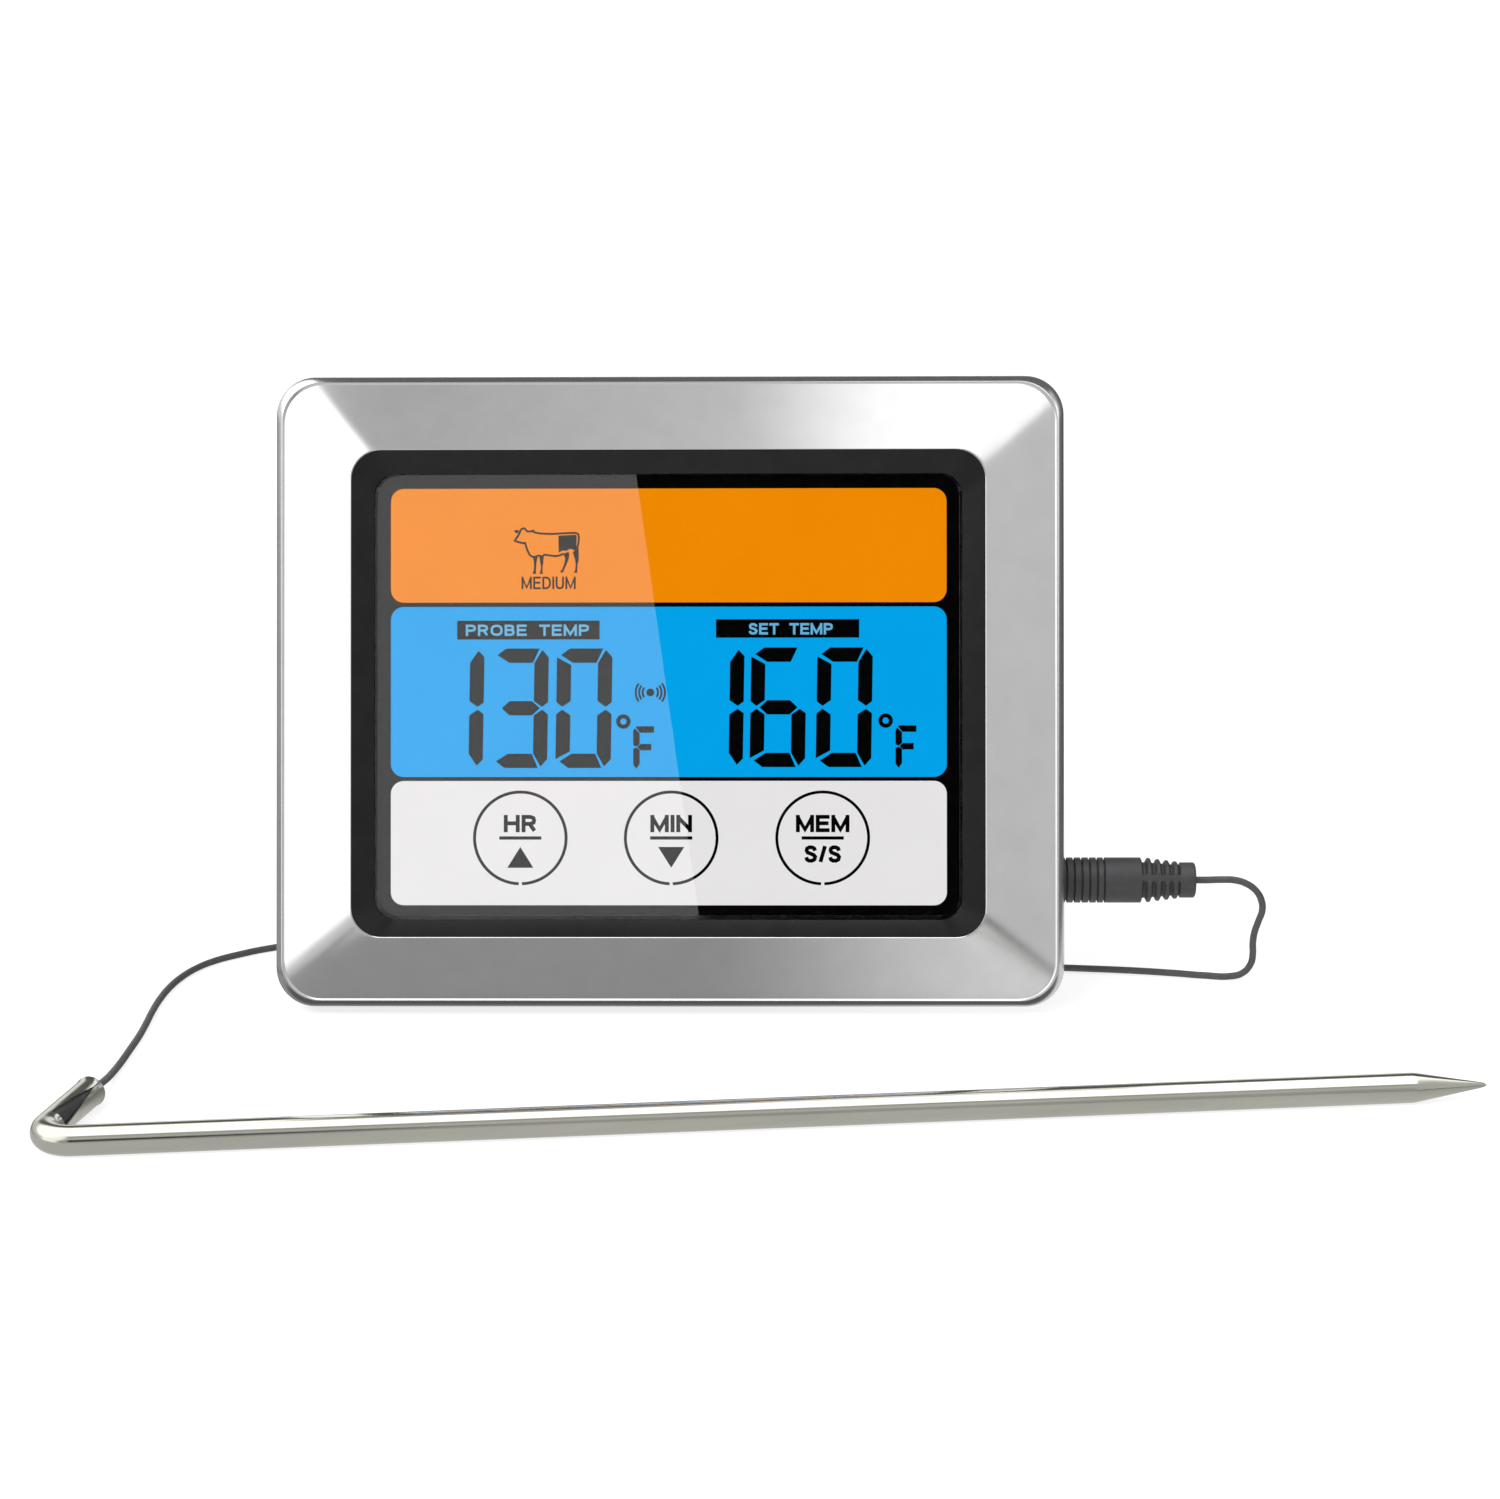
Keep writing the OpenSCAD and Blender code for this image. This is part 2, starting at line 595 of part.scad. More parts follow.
// Outline of the moulded grip: grooves, plain body, ribbed relief and end collar
function steps(n, x, pitch, slot, r_out, r_in) = [
    for (i = [0 : n - 1])
        each [
            [r_out, x + pitch * i], [r_in, x + pitch * i],
            [r_in, x + pitch * i + slot], [r_out, x + pitch * i + slot]
        ]
];
module plug_grip() color([0.22, 0.22, 0.23]) in_unit()
    translate([plug_x, jack_y, jack_z]) rotate([0, 90, 0]) rotate_extrude()
        polygon(concat(
            [[0, 0], [grip_r - 0.3, 0], [grip_r, 0.3]],
            steps(6, 3.2, 1.1, 0.4, grip_r, grip_r - 0.35),
            [[grip_r, relief_x - 0.5], [grip_r - 0.4, relief_x]],
            steps(4, relief_x + 0.3, 1.15, 0.5, 2.45, 1.7),
            [[2.3, collar_x], [2.3, grip_l - 0.3], [2, grip_l], [0, grip_l]]
        ));

module plug_sleeve() color("gold") in_unit() rod(plug_x - 6, plug_x, jack_y, jack_z, plug_r);

module plug_insulator() color([0.1, 0.1, 0.1]) in_unit()
    rod(plug_x - 6.5, plug_x - 6, jack_y, jack_z, plug_r - 0.05);

module plug_tip() color("gold") in_unit()
    translate([plug_x - 11, jack_y, jack_z]) rotate([0, 90, 0]) rotate_extrude()
        polygon([
            [0, 0], [0.5, 0], [plug_r - 0.05, 0.9], [plug_r - 0.05, 1.5],
            [0.85, 2.3], [plug_r, 3.1], [plug_r, 4.5], [0, 4.5]
        ]);

// ---- cable ----

module cable_plug_side() color([0.25, 0.25, 0.26]) sweep(plug_route, cable_r, [0, 1, 0]);
module cable_probe_side() color([0.25, 0.25, 0.26]) sweep(probe_route, cable_r, [0, 0, 1]);

module cable_coil() color([0.25, 0.25, 0.26])
    translate([coil_at[0], coil_at[1], coil_low]) rotate_extrude() polygon([
        [coil_in, 0.6], [coil_in + 0.6, 0], [coil_out - 0.6, 0], [coil_out, 0.6],
        [coil_out, coil_h - 0.6], [coil_out - 0.6, coil_h], [coil_in + 0.6, coil_h],
        [coil_in, coil_h - 0.6]
    ]);

module coil_tie() color([0.1, 0.1, 0.1]) translate([coil_at[0], coil_at[1], 0]) difference() {
    block(-1, 1, coil_in - tie_t, coil_out + tie_t, 0, coil_low + coil_h + tie_t);
    block(-2, 2, coil_in, coil_out, coil_low, coil_low + coil_h);
}

// ---- probe ----

// Puts its children in the probe's frame: the stem along +X from the bend's corner
module in_probe() {
    translate(corner) rotate([0, 0, stem_turn]) children();
}

// Stem, bend and handle as one solid bar of radius r. Bending thins the tube by a hair there.
module bent_bar(r, past) {
    translate([bend_t, 0, 0]) rotate([0, 90, 0])
        cylinder(r = r, h = stem_l - tip_l - bend_t + past);
    translate([bend_t, bend_r, 0]) rotate([0, 0, 90 + bend_angle - bend_lap])
        rotate_extrude(angle = 180 - bend_angle + 2 * bend_lap)
            translate([bend_r, 0]) circle(r - bend_thin);
    rotate([0, 0, bend_angle]) translate([bend_t, 0, 0]) rotate([0, 90, 0])
        cylinder(r = r, h = handle_l - bend_t + past);
}

module probe_tube() color([0.75, 0.75, 0.72]) in_probe() difference() {
    bent_bar(probe_r, 0);
    bent_bar(bore_r, 1);
}

module probe_tip() color([0.75, 0.75, 0.72]) in_probe()
    translate([stem_l - tip_l, 0, 0]) rotate([0, 90, 0]) rotate_extrude() polygon([
        [0, -3], [bore_r, -3], [bore_r, 0], [probe_r, 0], [0.3, tip_l - 0.3], [0, tip_l]
    ]);

module cable_seal() color([0.12, 0.12, 0.12]) in_probe()
    rotate([0, 0, bend_angle]) rod(handle_l - 4, handle_l, 0, 0, bore_r);

module thermistor_bead() color([0.1, 0.1, 0.1]) in_probe() {
    translate([bead_x, 0, 0]) sphere(0.8);
}

function stem_wire(d) = [[bead_x - 0.85, d, 0], [stem_l / 2, d, 0], [bend_t, d, 0]];
function bend_wire(d) = [
    for (a = [15 : 15 : 180 - bend_angle - 1])
        [bend_t - (bend_r - d) * sin(a), bend_r - (bend_r - d) * cos(a), 0]
];
function handle_wire(d) = [
    for (x = [bend_t, handle_l - 4])
        [x * cos(bend_angle) + d * sin(bend_angle), x * sin(bend_angle) - d * cos(bend_angle), 0]
];
module thermistor_leads() color([0.8, 0.5, 0.3]) in_probe()
    for (d = [-0.4, 0.4])
        sweep(concat(stem_wire(d), bend_wire(d), handle_wire(d)), 0.2, [0, 0, 1], 6);

module tip_potting() color([0.3, 0.3, 0.3]) in_probe() difference() {
    rod(bead_x - 2, stem_l - tip_l - 3, 0, 0, bore_r - 0.02);
    rod(bead_x - 3, bead_x + 1, 0, 0, 0.95);
}

// ---- assembly ----

front_frame();
window_ring();
window_glass();
window_gasket();
touch_film();
lcd_front_glass();
lcd_rear_glass();
backlight_orange();
backlight_blue();
backlight_white();
backlight_reflector();
backlight_leds();
lcd_holder();
zebra_strip();
main_board();
chip_blob();
board_parts();
crystal();
capacitor();
board_screws();
buzzer_disc();
buzzer_ceramic();
rear_case();
case_screws();
magnets();
battery_cell_lower();
battery_cell_upper();
battery_springs();
link_contact();
positive_contact();
negative_contact();
lead_red();
lead_black();
battery_door();
stand();
stand_pin();
power_switch_body();
power_switch_knob();
tact_switch();
tact_plunger();
unit_button();
jack_body();
jack_contact();
plug_grip();
plug_sleeve();
plug_insulator();
plug_tip();
cable_plug_side();
cable_coil();
coil_tie();
cable_probe_side();
probe_tube();
probe_tip();
cable_seal();
thermistor_bead();
thermistor_leads();
tip_potting();
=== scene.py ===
"""Looks of a digital meat thermometer: a leaning display unit, its steel probe and their cable.

The unit's own frame, in millimetres, has X to the right, Y into the unit from its front face and
Z up the face, and UNIT carries it to the row frame in metres. The probe's own frame has X along
the stem from the corner of the bend, and PROBE carries it. The table is the row frame's z = 0.
"""
import json
import math

import bmesh
import bpy
from mathutils import Matrix, Vector
from mathutils.geometry import tessellate_polygon


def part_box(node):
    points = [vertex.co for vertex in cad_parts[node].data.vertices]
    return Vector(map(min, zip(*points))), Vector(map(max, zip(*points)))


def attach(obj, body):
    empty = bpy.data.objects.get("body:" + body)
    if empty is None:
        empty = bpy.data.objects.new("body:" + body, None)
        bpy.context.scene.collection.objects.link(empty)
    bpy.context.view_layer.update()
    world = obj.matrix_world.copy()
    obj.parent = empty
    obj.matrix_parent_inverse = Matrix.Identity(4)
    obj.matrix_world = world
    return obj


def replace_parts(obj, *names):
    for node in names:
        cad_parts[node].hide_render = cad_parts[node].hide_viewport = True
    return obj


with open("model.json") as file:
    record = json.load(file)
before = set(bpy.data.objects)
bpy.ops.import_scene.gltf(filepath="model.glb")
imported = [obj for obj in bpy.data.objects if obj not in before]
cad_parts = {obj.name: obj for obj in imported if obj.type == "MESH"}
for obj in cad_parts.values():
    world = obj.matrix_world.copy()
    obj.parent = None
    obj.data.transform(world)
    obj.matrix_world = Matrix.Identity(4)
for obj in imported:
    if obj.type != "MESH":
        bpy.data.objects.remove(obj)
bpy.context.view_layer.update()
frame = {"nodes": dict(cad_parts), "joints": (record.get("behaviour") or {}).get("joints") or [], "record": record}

MM = 0.001
JOINT = {j["name"]: j for j in frame["joints"]}
MOUNT = {m["name"]: m for m in frame["record"]["mounts"]}

# ---- sizes, in millimetres ----

GLASS = (1.2, 2.1, 10.4)                       # window glass: front, back and foot
# Outlines as (half width, bottom, top, corner radius)
FRAME_OUT = (50.5, 0.0, 80.8, 5.0)
FRAME_IN = (40.3, 9.03, 70.98, 3.8)
RING_OUT = (40.2, 9.13, 70.88, 3.7)
RING_IN = (37.3, 11.3, 67.9, 2.8)
MASK = (36.97, 11.78, 67.78, 2.7)
ZONES = {
    "orange": (35.35, 51.6, 66.1, 1.65),
    "blue": (35.35, 29.4, 51.05, 1.65),
    "white": (35.35, 13.1, 28.9, 1.65),
}
MASK_Y, ZONE_Y, PRINT_Y, MASK_BACK = 2.2, 2.17, 2.14, 2.29

PLUG_AT = (46.9, 13.0, 16.0)                   # the grip's face on the jack's axis
GRIP_R, GRIP_L, HOLE_R = 2.94, 21.1, 0.52      # moulded grip, and the hole for the cable
GROOVES = (4.3, 5.3, 6.3, 7.3, 8.3, 9.2)       # places along the grip
RELIEF, COLLAR = 14.0, 18.95                   # where the ribbed part and the end collar begin
RIBS = ((15.0, 2.88), (16.2, 2.72), (17.35, 2.58), (18.45, 2.44))   # place and radius

STEM_L, TIP_L, HANDLE_L = 170.5, 9.0, 17.1
PROBE_R, TUBE_T, BEND_R, BEND_ANGLE = 1.8, 0.35, 3.4, math.radians(72)
BEND_T = BEND_R / math.tan(BEND_ANGLE / 2)     # from the corner to where the bend begins
HANDLE_DIR = Vector((math.cos(BEND_ANGLE), math.sin(BEND_ANGLE), 0))
SLOT_START = 5.4                               # where the handle's slot begins

CABLE_D = 0.9
# Route of the cable, in millimetres of the row frame, as the CAD part has it
PLUG_ROUTE = [
    (54.5, 16.7, 14.55), (56.2, 16.7, 14.55), (58, 16.7, 14.6), (59.7, 16.8, 14.5),
    (61.2, 16.9, 14), (62.5, 17.1, 13), (63.3, 17.4, 11.6), (63.5, 17.7, 10.1),
    (63.1, 18.1, 8.5), (62.7, 18.6, 6.8), (62.6, 19.1, 5.1), (62.7, 19.5, 3.6),
    (62.5, 19.8, 2.1), (61.5, 19.7, 0.9), (59.9, 19.5, 0.5), (56.5, 19.8, 0.5),
    (52.5, 20.8, 0.5), (47, 21.9, 0.5), (41, 22.7, 0.5), (35, 23.4, 0.5),
    (29, 24.5, 0.5), (23, 26.3, 0.5), (19.5, 27, 0.5), (16, 27.15, 0.5),
]
PROBE_ROUTE = [
    (21.5, 29.5, 3.2), (19.4, 27.3, 3), (17, 24.8, 2.5), (14.3, 22.2, 1.8),
    (11, 19.8, 1.1), (7, 18, 0.6), (2, 17, 0.5), (-5, 16.4, 0.5),
    (-13, 16.2, 0.5), (-21, 16.3, 0.5), (-29, 17.2, 0.5), (-37, 19.8, 0.5),
    (-45, 24, 0.5), (-51, 28.4, 0.5), (-56.5, 31.6, 0.5), (-61.5, 33.1, 0.5),
    (-65.5, 32.8, 0.5), (-69.2, 31.1, 0.5), (-72.5, 28.6, 0.5), (-75.2, 26, 0.5),
    (-77.2, 22.8, 0.5), (-78.6, 18.8, 0.5), (-79.4, 14.6, 0.5), (-79.8, 10, 0.5),
    (-79.9, 5, 0.5), (-79.8, 0, 0.5), (-79.8, -5, 0.5), (-80, -10, 0.5),
    (-80.2, -14.5, 0.5), (-80.4, -18.5, 0.65), (-80.45, -22.1, 1.1),
    (-80.6, -25.5, 1.6), (-81.12, -28.44, 1.8),
]
COIL_AT = (16.0, 35.0)
COIL_LEVELS = (0.5, 1.4, 2.3, 3.2)             # heights of the coil's flat layers
COIL_TURNS = 21.875
COIL_RADII = (7.86, 2.64)

# ---- places ----

def axes(x, y, z):
    """Turns a frame with those unit axes to the row frame"""
    return Matrix((x, y, z)).transposed().to_4x4()


VERTICAL = Vector((0, 0, 1))
ROW = Matrix.Scale(MM, 4)

# The unit stands where the CAD's window glass puts it
UP = Vector(JOINT["battery_door_slide"]["axis"]).normalized()
RIGHT = Vector((1, 0, 0))
INTO = UP.cross(RIGHT)
glass_lo, glass_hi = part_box("window_glass")
low_front, low_back = (GLASS[2] * UP + y * INTO for y in GLASS[:2])
foot_x = (glass_lo.x + glass_hi.x) / 2
FOOT = Vector((foot_x, glass_lo.y - low_front.y * MM, glass_lo.z - low_back.z * MM))
UNIT = Matrix.Translation(FOOT) @ axes(RIGHT, INTO, UP) @ ROW

stem = MOUNT["probe_stem"]
STEM_DIR = Vector(stem["axis"]).normalized()
CORNER = Vector(stem["pos_m"]) - STEM_DIR * (BEND_T + stem["dims"]["length_mm"] / 2) * MM
PROBE = Matrix.Translation(CORNER) @ axes(STEM_DIR, VERTICAL.cross(STEM_DIR), VERTICAL) @ ROW


# ---- camera ----

def add_object(name, data):
    obj = bpy.data.objects.new(name, data)
    bpy.context.scene.collection.objects.link(obj)
    return obj


def direction(azimuth, elevation):
    """Unit vector, in degrees; azimuth 0 is towards -Y, where the viewer is"""
    a, e = math.radians(azimuth), math.radians(elevation)
    return Vector((math.sin(a) * math.cos(e), -math.cos(a) * math.cos(e), math.sin(e)))


def set_camera(target, azimuth, elevation, distance, lens, roll):
    """Camera that looks at target from that direction, rolled clockwise by roll degrees"""
    away = direction(azimuth, elevation)
    data = bpy.data.cameras.new("camera")
    data.lens = lens
    camera = add_object("camera", data)
    camera.location = Vector(target) + away * distance
    level = (-away).to_track_quat("-Z", "Y").to_matrix()
    camera.rotation_euler = (level @ Matrix.Rotation(-math.radians(roll), 3, "Z")).to_euler()
    bpy.context.scene.camera = camera
    return camera


camera = set_camera((-0.0033, 0.02, 0.0311), 1.0, 14.5, 0.45, 83.1, 0.28)
camera.data.shift_y = 0.0007
bpy.context.scene.view_settings.view_transform = "Standard"


# ---- materials ----

class Nodes:
    """Short calls for building one node tree"""

    def __init__(self, tree):
        self.tree = tree
        tree.nodes.clear()

    def add(self, kind, inputs=None, **settings):
        node = self.tree.nodes.new(kind)
        for key, value in settings.items():
            setattr(node, key, value)
        for key, value in (inputs or {}).items():
            self.put(node.inputs[key], value)
        return node

    def put(self, socket, value):
        if isinstance(value, bpy.types.NodeSocket):
            self.tree.links.new(value, socket)
        elif isinstance(value, bpy.types.Node):
            self.tree.links.new(value.outputs[0], socket)
        else:
            socket.default_value = value

    def math(self, operation, a, b):
        return self.add("ShaderNodeMath", {0: a, 1: b}, operation=operation).outputs[0]

    def spread(self, value, low, high, to_low=0.0, to_high=1.0, smooth=False):
        kind = "SMOOTHSTEP" if smooth else "LINEAR"
        node = self.add("ShaderNodeMapRange", interpolation_type=kind)
        for key, number in enumerate((value, low, high, to_low, to_high)):
            self.put(node.inputs[key], number)
        return node.outputs[0]

    def place(self, stretch=(1, 1, 1)):
        where = self.add("ShaderNodeTexCoord").outputs["Object"]
        return self.add("ShaderNodeMapping", {"Vector": where, "Scale": stretch}).outputs[0]

    def noise(self, grain, stretch=(1, 1, 1), detail=3.0):
        """Noise whose grains are about that many millimetres"""
        settings = {"Vector": self.place(stretch), "Scale": 1 / (grain * MM), "Detail": detail}
        settings["Roughness"] = 0.55
        return self.add("ShaderNodeTexNoise", settings).outputs["Fac"]

    def paint(self, under, level, mask):
        """A value that goes from under, where mask is 0, to level, where it is 1"""
        step = self.math("SUBTRACT", level, under)
        return self.math("ADD", under, self.math("MULTIPLY", step, mask))

    def blend(self, factor, a, b):
        node = self.add("ShaderNodeMix", data_type="RGBA")
        for key, value in ((0, factor), (6, a), (7, b)):
            self.put(node.inputs[key], value)
        return node.outputs[2]


def rgb(r, g, b):
    return (r, g, b, 1.0)


def grey(level):
    return rgb(level, level, level)


def new_material(name):
    mat = bpy.data.materials.new(name)
    mat.use_nodes = True
    return mat, Nodes(mat.node_tree)


def surface(name, low, high, rough, grain=1.5, metal=0.0, bump=0.0, bump_grain=0.15,
            stretch=(1, 1, 1), **sockets):
    """A material that varies between two tones and two roughnesses, with a fine relief of bump mm"""
    mat, n = new_material(name)
    shader = n.add("ShaderNodeBsdfPrincipled")
    tone = n.spread(n.noise(grain, stretch), 0.3, 0.7)
    n.put(shader.inputs["Base Color"], n.blend(tone, rgb(*low), rgb(*high)))
    wear = n.spread(n.noise(grain * 2.3, stretch, detail=5.0), 0.3, 0.7, rough[0], rough[1])
    n.put(shader.inputs["Roughness"], wear)
    shader.inputs["Metallic"].default_value = metal
    for key, value in sockets.items():
        shader.inputs[key.replace("_", " ")].default_value = value
    if bump:
        relief = n.add("ShaderNodeBump", {"Strength": 1.0, "Distance": bump * MM})
        n.put(relief.inputs["Height"], n.noise(bump_grain, stretch, detail=4.0))
        n.put(shader.inputs["Normal"], relief.outputs[0])
    n.add("ShaderNodeOutputMaterial", {"Surface": shader})
    return mat


def glow(name, colour, dim=0.012):
    """A lit display zone, a little uneven as a light guide is"""
    mat, n = new_material(name)
    cloud = n.spread(n.noise(9.0, detail=1.0), 0.3, 0.7, 1.0 - dim, 1.0 + dim)
    dots = n.spread(n.noise(0.12, detail=0.0), 0.4, 0.6, 1.0 - dim / 3, 1.0 + dim / 3)
    shader = n.add("ShaderNodeBsdfPrincipled", {"Emission Color": rgb(*colour)})
    n.put(shader.inputs["Emission Strength"], n.math("MULTIPLY", cloud, dots))
    shade = n.blend(cloud, grey(0.01), rgb(*[0.05 * c for c in colour]))
    n.put(shader.inputs["Base Color"], shade)
    shader.inputs["Roughness"].default_value = 0.9
    shader.inputs["Specular IOR Level"].default_value = 0.0
    n.add("ShaderNodeOutputMaterial", {"Surface": shader})
    mat.cycles.emission_sampling = "NONE"
    return mat


def clear(name, tint, ior=1.45):
    """Clear glass or film with a faint cloud in its tint"""
    mat, n = new_material(name)
    shader = n.add("ShaderNodeBsdfPrincipled")
    tone = n.spread(n.noise(14.0), 0.3, 0.7)
    n.put(shader.inputs["Base Color"], n.blend(tone, rgb(*tint), rgb(*[0.995 * c for c in tint])))
    shader.inputs["Roughness"].default_value = 0.0
    shader.inputs["Transmission Weight"].default_value = 1.0
    shader.inputs["IOR"].default_value = ior
    n.add("ShaderNodeOutputMaterial", {"Surface": shader})
    return mat


FINISH = {
    "silver_frame": surface("silver_paint", (0.80, 0.80, 0.81), (0.84, 0.84, 0.85), (0.20, 0.24),
                            grain=4.0, metal=1.0, bump=0.0002, bump_grain=0.06),
    "black_ring": surface("gloss_black", (0.006, 0.006, 0.0065), (0.009, 0.009, 0.0095),
                          (0.13, 0.19), grain=3.0, bump=0.0002, bump_grain=0.3,
                          Specular_IOR_Level=0.3),
    "glass": clear("window_glass", (1.0, 1.0, 1.0), ior=1.5),
    "gasket": surface("foam_gasket", (0.006, 0.006, 0.006), (0.012, 0.012, 0.012), (0.8, 0.95),
                      grain=0.3, bump=0.02, bump_grain=0.1),
    "film": clear("touch_film", (0.99, 0.985, 0.97)),
    "lcd_glass": clear("lcd_glass", (0.93, 0.95, 0.94)),
    "orange_light": surface("orange_guide", (0.72, 0.25, 0.03), (0.8, 0.3, 0.05), (0.3, 0.45),
                            grain=2.0, bump=0.004, bump_grain=0.4),
    "blue_light": surface("blue_guide", (0.03, 0.3, 0.7), (0.05, 0.36, 0.8), (0.3, 0.45),
                          grain=2.0, bump=0.004, bump_grain=0.4),
    "white_light": surface("white_guide", (0.78, 0.78, 0.78), (0.86, 0.86, 0.86), (0.3, 0.45),
                           grain=2.0, bump=0.004, bump_grain=0.4),
    "white_plastic": surface("white_plastic", (0.74, 0.74, 0.71), (0.8, 0.8, 0.77), (0.4, 0.55),
                             grain=3.0, bump=0.004, bump_grain=0.2),
    "led": surface("led_body", (0.8, 0.75, 0.4), (0.88, 0.84, 0.55), (0.25, 0.4), grain=0.4),
    "zebra": surface("zebra_strip", (0.5, 0.2, 0.26), (0.62, 0.3, 0.36), (0.6, 0.75), grain=0.2,
                     stretch=(8, 1, 1), bump=0.004),
    "board": surface("solder_mask", (0.02, 0.14, 0.05), (0.03, 0.2, 0.08), (0.25, 0.4), grain=1.2,
                     bump=0.006, bump_grain=0.5),
    "epoxy": surface("chip_epoxy", (0.008, 0.008, 0.008), (0.02, 0.02, 0.02), (0.3, 0.5),
                     grain=0.8, bump=0.02, bump_grain=0.6),
    "component": surface("component", (0.3, 0.22, 0.12), (0.5, 0.42, 0.3), (0.3, 0.5), grain=0.5),
    "bright_steel": surface("bright_steel", (0.62, 0.62, 0.6), (0.74, 0.74, 0.72), (0.22, 0.4),
                            grain=0.8, metal=1.0, bump=0.002, bump_grain=0.1),
    "capacitor_sleeve": surface("sleeve", (0.02, 0.03, 0.1), (0.03, 0.04, 0.14), (0.3, 0.4)),
    "brass": surface("brass", (0.7, 0.5, 0.2), (0.82, 0.62, 0.3), (0.2, 0.35), grain=0.8,
                     metal=1.0, bump=0.001, bump_grain=0.1),
    "piezo": surface("piezo", (0.7, 0.68, 0.62), (0.8, 0.79, 0.74), (0.5, 0.65), grain=0.5),
    "grey_case": surface("grey_case", (0.465, 0.465, 0.475), (0.485, 0.485, 0.495), (0.40, 0.50),
                         grain=1.2, bump=0.008, bump_grain=0.16),
    "magnet": surface("magnet", (0.50, 0.50, 0.51), (0.55, 0.55, 0.56), (0.26, 0.34), grain=0.5,
                      metal=1.0, bump=0.002, bump_grain=0.15),
    "cell_wrap": surface("cell_wrap", (0.55, 0.34, 0.1), (0.62, 0.4, 0.13), (0.3, 0.4), grain=3.0),
    "red_wire": surface("red_wire", (0.5, 0.02, 0.02), (0.6, 0.04, 0.03), (0.35, 0.5)),
    "black_plastic": surface("black_plastic", (0.018, 0.018, 0.019), (0.028, 0.028, 0.03),
                             (0.36, 0.5), grain=1.5, bump=0.004, bump_grain=0.15),
    "plunger": surface("plunger", (0.3, 0.03, 0.03), (0.4, 0.05, 0.04), (0.4, 0.5)),
    "charcoal_grip": surface("charcoal_grip", (0.036, 0.036, 0.038), (0.046, 0.046, 0.049),
                             (0.42, 0.56), grain=2.0, bump=0.003, bump_grain=0.12),
    "plug_metal": surface("plug_metal", (0.86, 0.66, 0.32), (0.93, 0.76, 0.42), (0.12, 0.22),
                          grain=1.0, metal=1.0, stretch=(0.2, 3, 3), bump=0.0006),
    "cable_jacket": surface("cable_jacket", (0.056, 0.056, 0.058), (0.075, 0.075, 0.078),
                            (0.42, 0.58), grain=0.8, bump=0.006, bump_grain=0.18),
    # The stainless tint is partly the steel's own and partly a painted reflection colour: its olive-yellow stands
    # in for an olive-grey surface that the stem mirrors
    "stainless": surface("stainless", (0.57, 0.565, 0.50), (0.63, 0.622, 0.55), (0.10, 0.17),
                         grain=3.0, metal=1.0, bump=0.0008, bump_grain=0.1,
                         stretch=(0.08, 1.5, 1.5)),
    "potting": surface("potting", (0.02, 0.02, 0.02), (0.04, 0.04, 0.04), (0.5, 0.7), grain=0.5),
    "copper": surface("copper", (0.7, 0.32, 0.18), (0.8, 0.42, 0.26), (0.25, 0.4), metal=1.0),
}
GLOWS = {
    "orange": glow("orange_zone", (0.905, 0.26, 0.0)),
    "blue": glow("blue_zone", (0.0, 0.375, 0.845)),
    "white": glow("white_zone", (0.825, 0.81, 0.82), dim=0.008),
}
INK = surface("display_ink", (0.001, 0.001, 0.001), (0.003, 0.003, 0.003), (0.7, 0.9),
              Specular_IOR_Level=0.0)
PALE_INK = glow("pale_ink", (0.13, 0.45, 0.72))


# ---- mesh building ----

def piece(name, body, slot, verts, faces, place=UNIT, mat=None, sharp=34):
    """A new piece from points in millimetres of its own frame"""
    mesh = bpy.data.meshes.new(name)
    mesh.from_pydata([tuple(v) for v in verts], [], faces)
    work = bmesh.new()
    work.from_mesh(mesh)
    bmesh.ops.recalc_face_normals(work, faces=work.faces)
    work.to_mesh(mesh)
    work.free()
    mesh.transform(place)
    mesh.materials.append(mat or FINISH[slot])
    mesh.shade_smooth()
    mesh.set_sharp_from_angle(angle=math.radians(sharp))
    obj = add_object(name, mesh)
    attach(obj, body)
    return obj


def circle(steps):
    """Angles round a circle"""
    return [2 * math.pi * k / steps for k in range(steps)]


def mix(a, b, t):
    return tuple(p + (q - p) * t for p, q in zip(a, b))


def outline(shape, y):
    """A rounded rectangle that faces -Y, with extra points that keep its straight sides flat"""
    half, z0, z1, r = shape
    steps = 12
    centres = [(half - r, z0 + r), (half - r, z1 - r), (r - half, z1 - r), (r - half, z0 + r)]
    points = []
    for i, (cx, cz) in enumerate(centres):
        start = 90 * (i - 1)
        for k in range(steps + 1):
            a = math.radians(start + 90 * k / steps)
            points.append((cx + r * math.cos(a), y, cz + r * math.sin(a)))
        a = math.radians(start + 90)
        nx, nz = centres[(i + 1) % 4]
        here = (cx + r * math.cos(a), y, cz + r * math.sin(a))
        there = (nx + r * math.cos(a), y, nz + r * math.sin(a))
        points += [mix(here, there, t) for t in (0.012, 0.5, 0.988)]
    return points


def loft(loops, closed=False):
    """Faces between loops that have the same number of points; open ends are capped"""
    n, rows = len(loops[0]), len(loops)
    verts = [p for loop in loops for p in loop]
    faces = []
    for i in range(rows if closed else rows - 1):
        j = (i + 1) % rows
        for k in range(n):
            m = (k + 1) % n
            faces.append((i * n + k, i * n + m, j * n + m, j * n + k))
    if not closed:
        faces.append(tuple(range(n)))
        faces.append(tuple((rows - 1) * n + k for k in range(n)))
    return verts, faces


def join(*parts):
    """Several (verts, faces) as one"""
    verts, faces = [], []
    for v, f in parts:
        at = len(verts)
        verts += list(v)
        faces += [tuple(at + i for i in face) for face in f]
    return verts, faces


def turned(profile, x, z):
    """A ring-shaped solid: (depth, radius) points turned round a line along Y"""
    return loft([[(x + r * math.sin(a), y, z + r * math.cos(a)) for a in circle(24)]
                 for y, r in profile], closed=True)


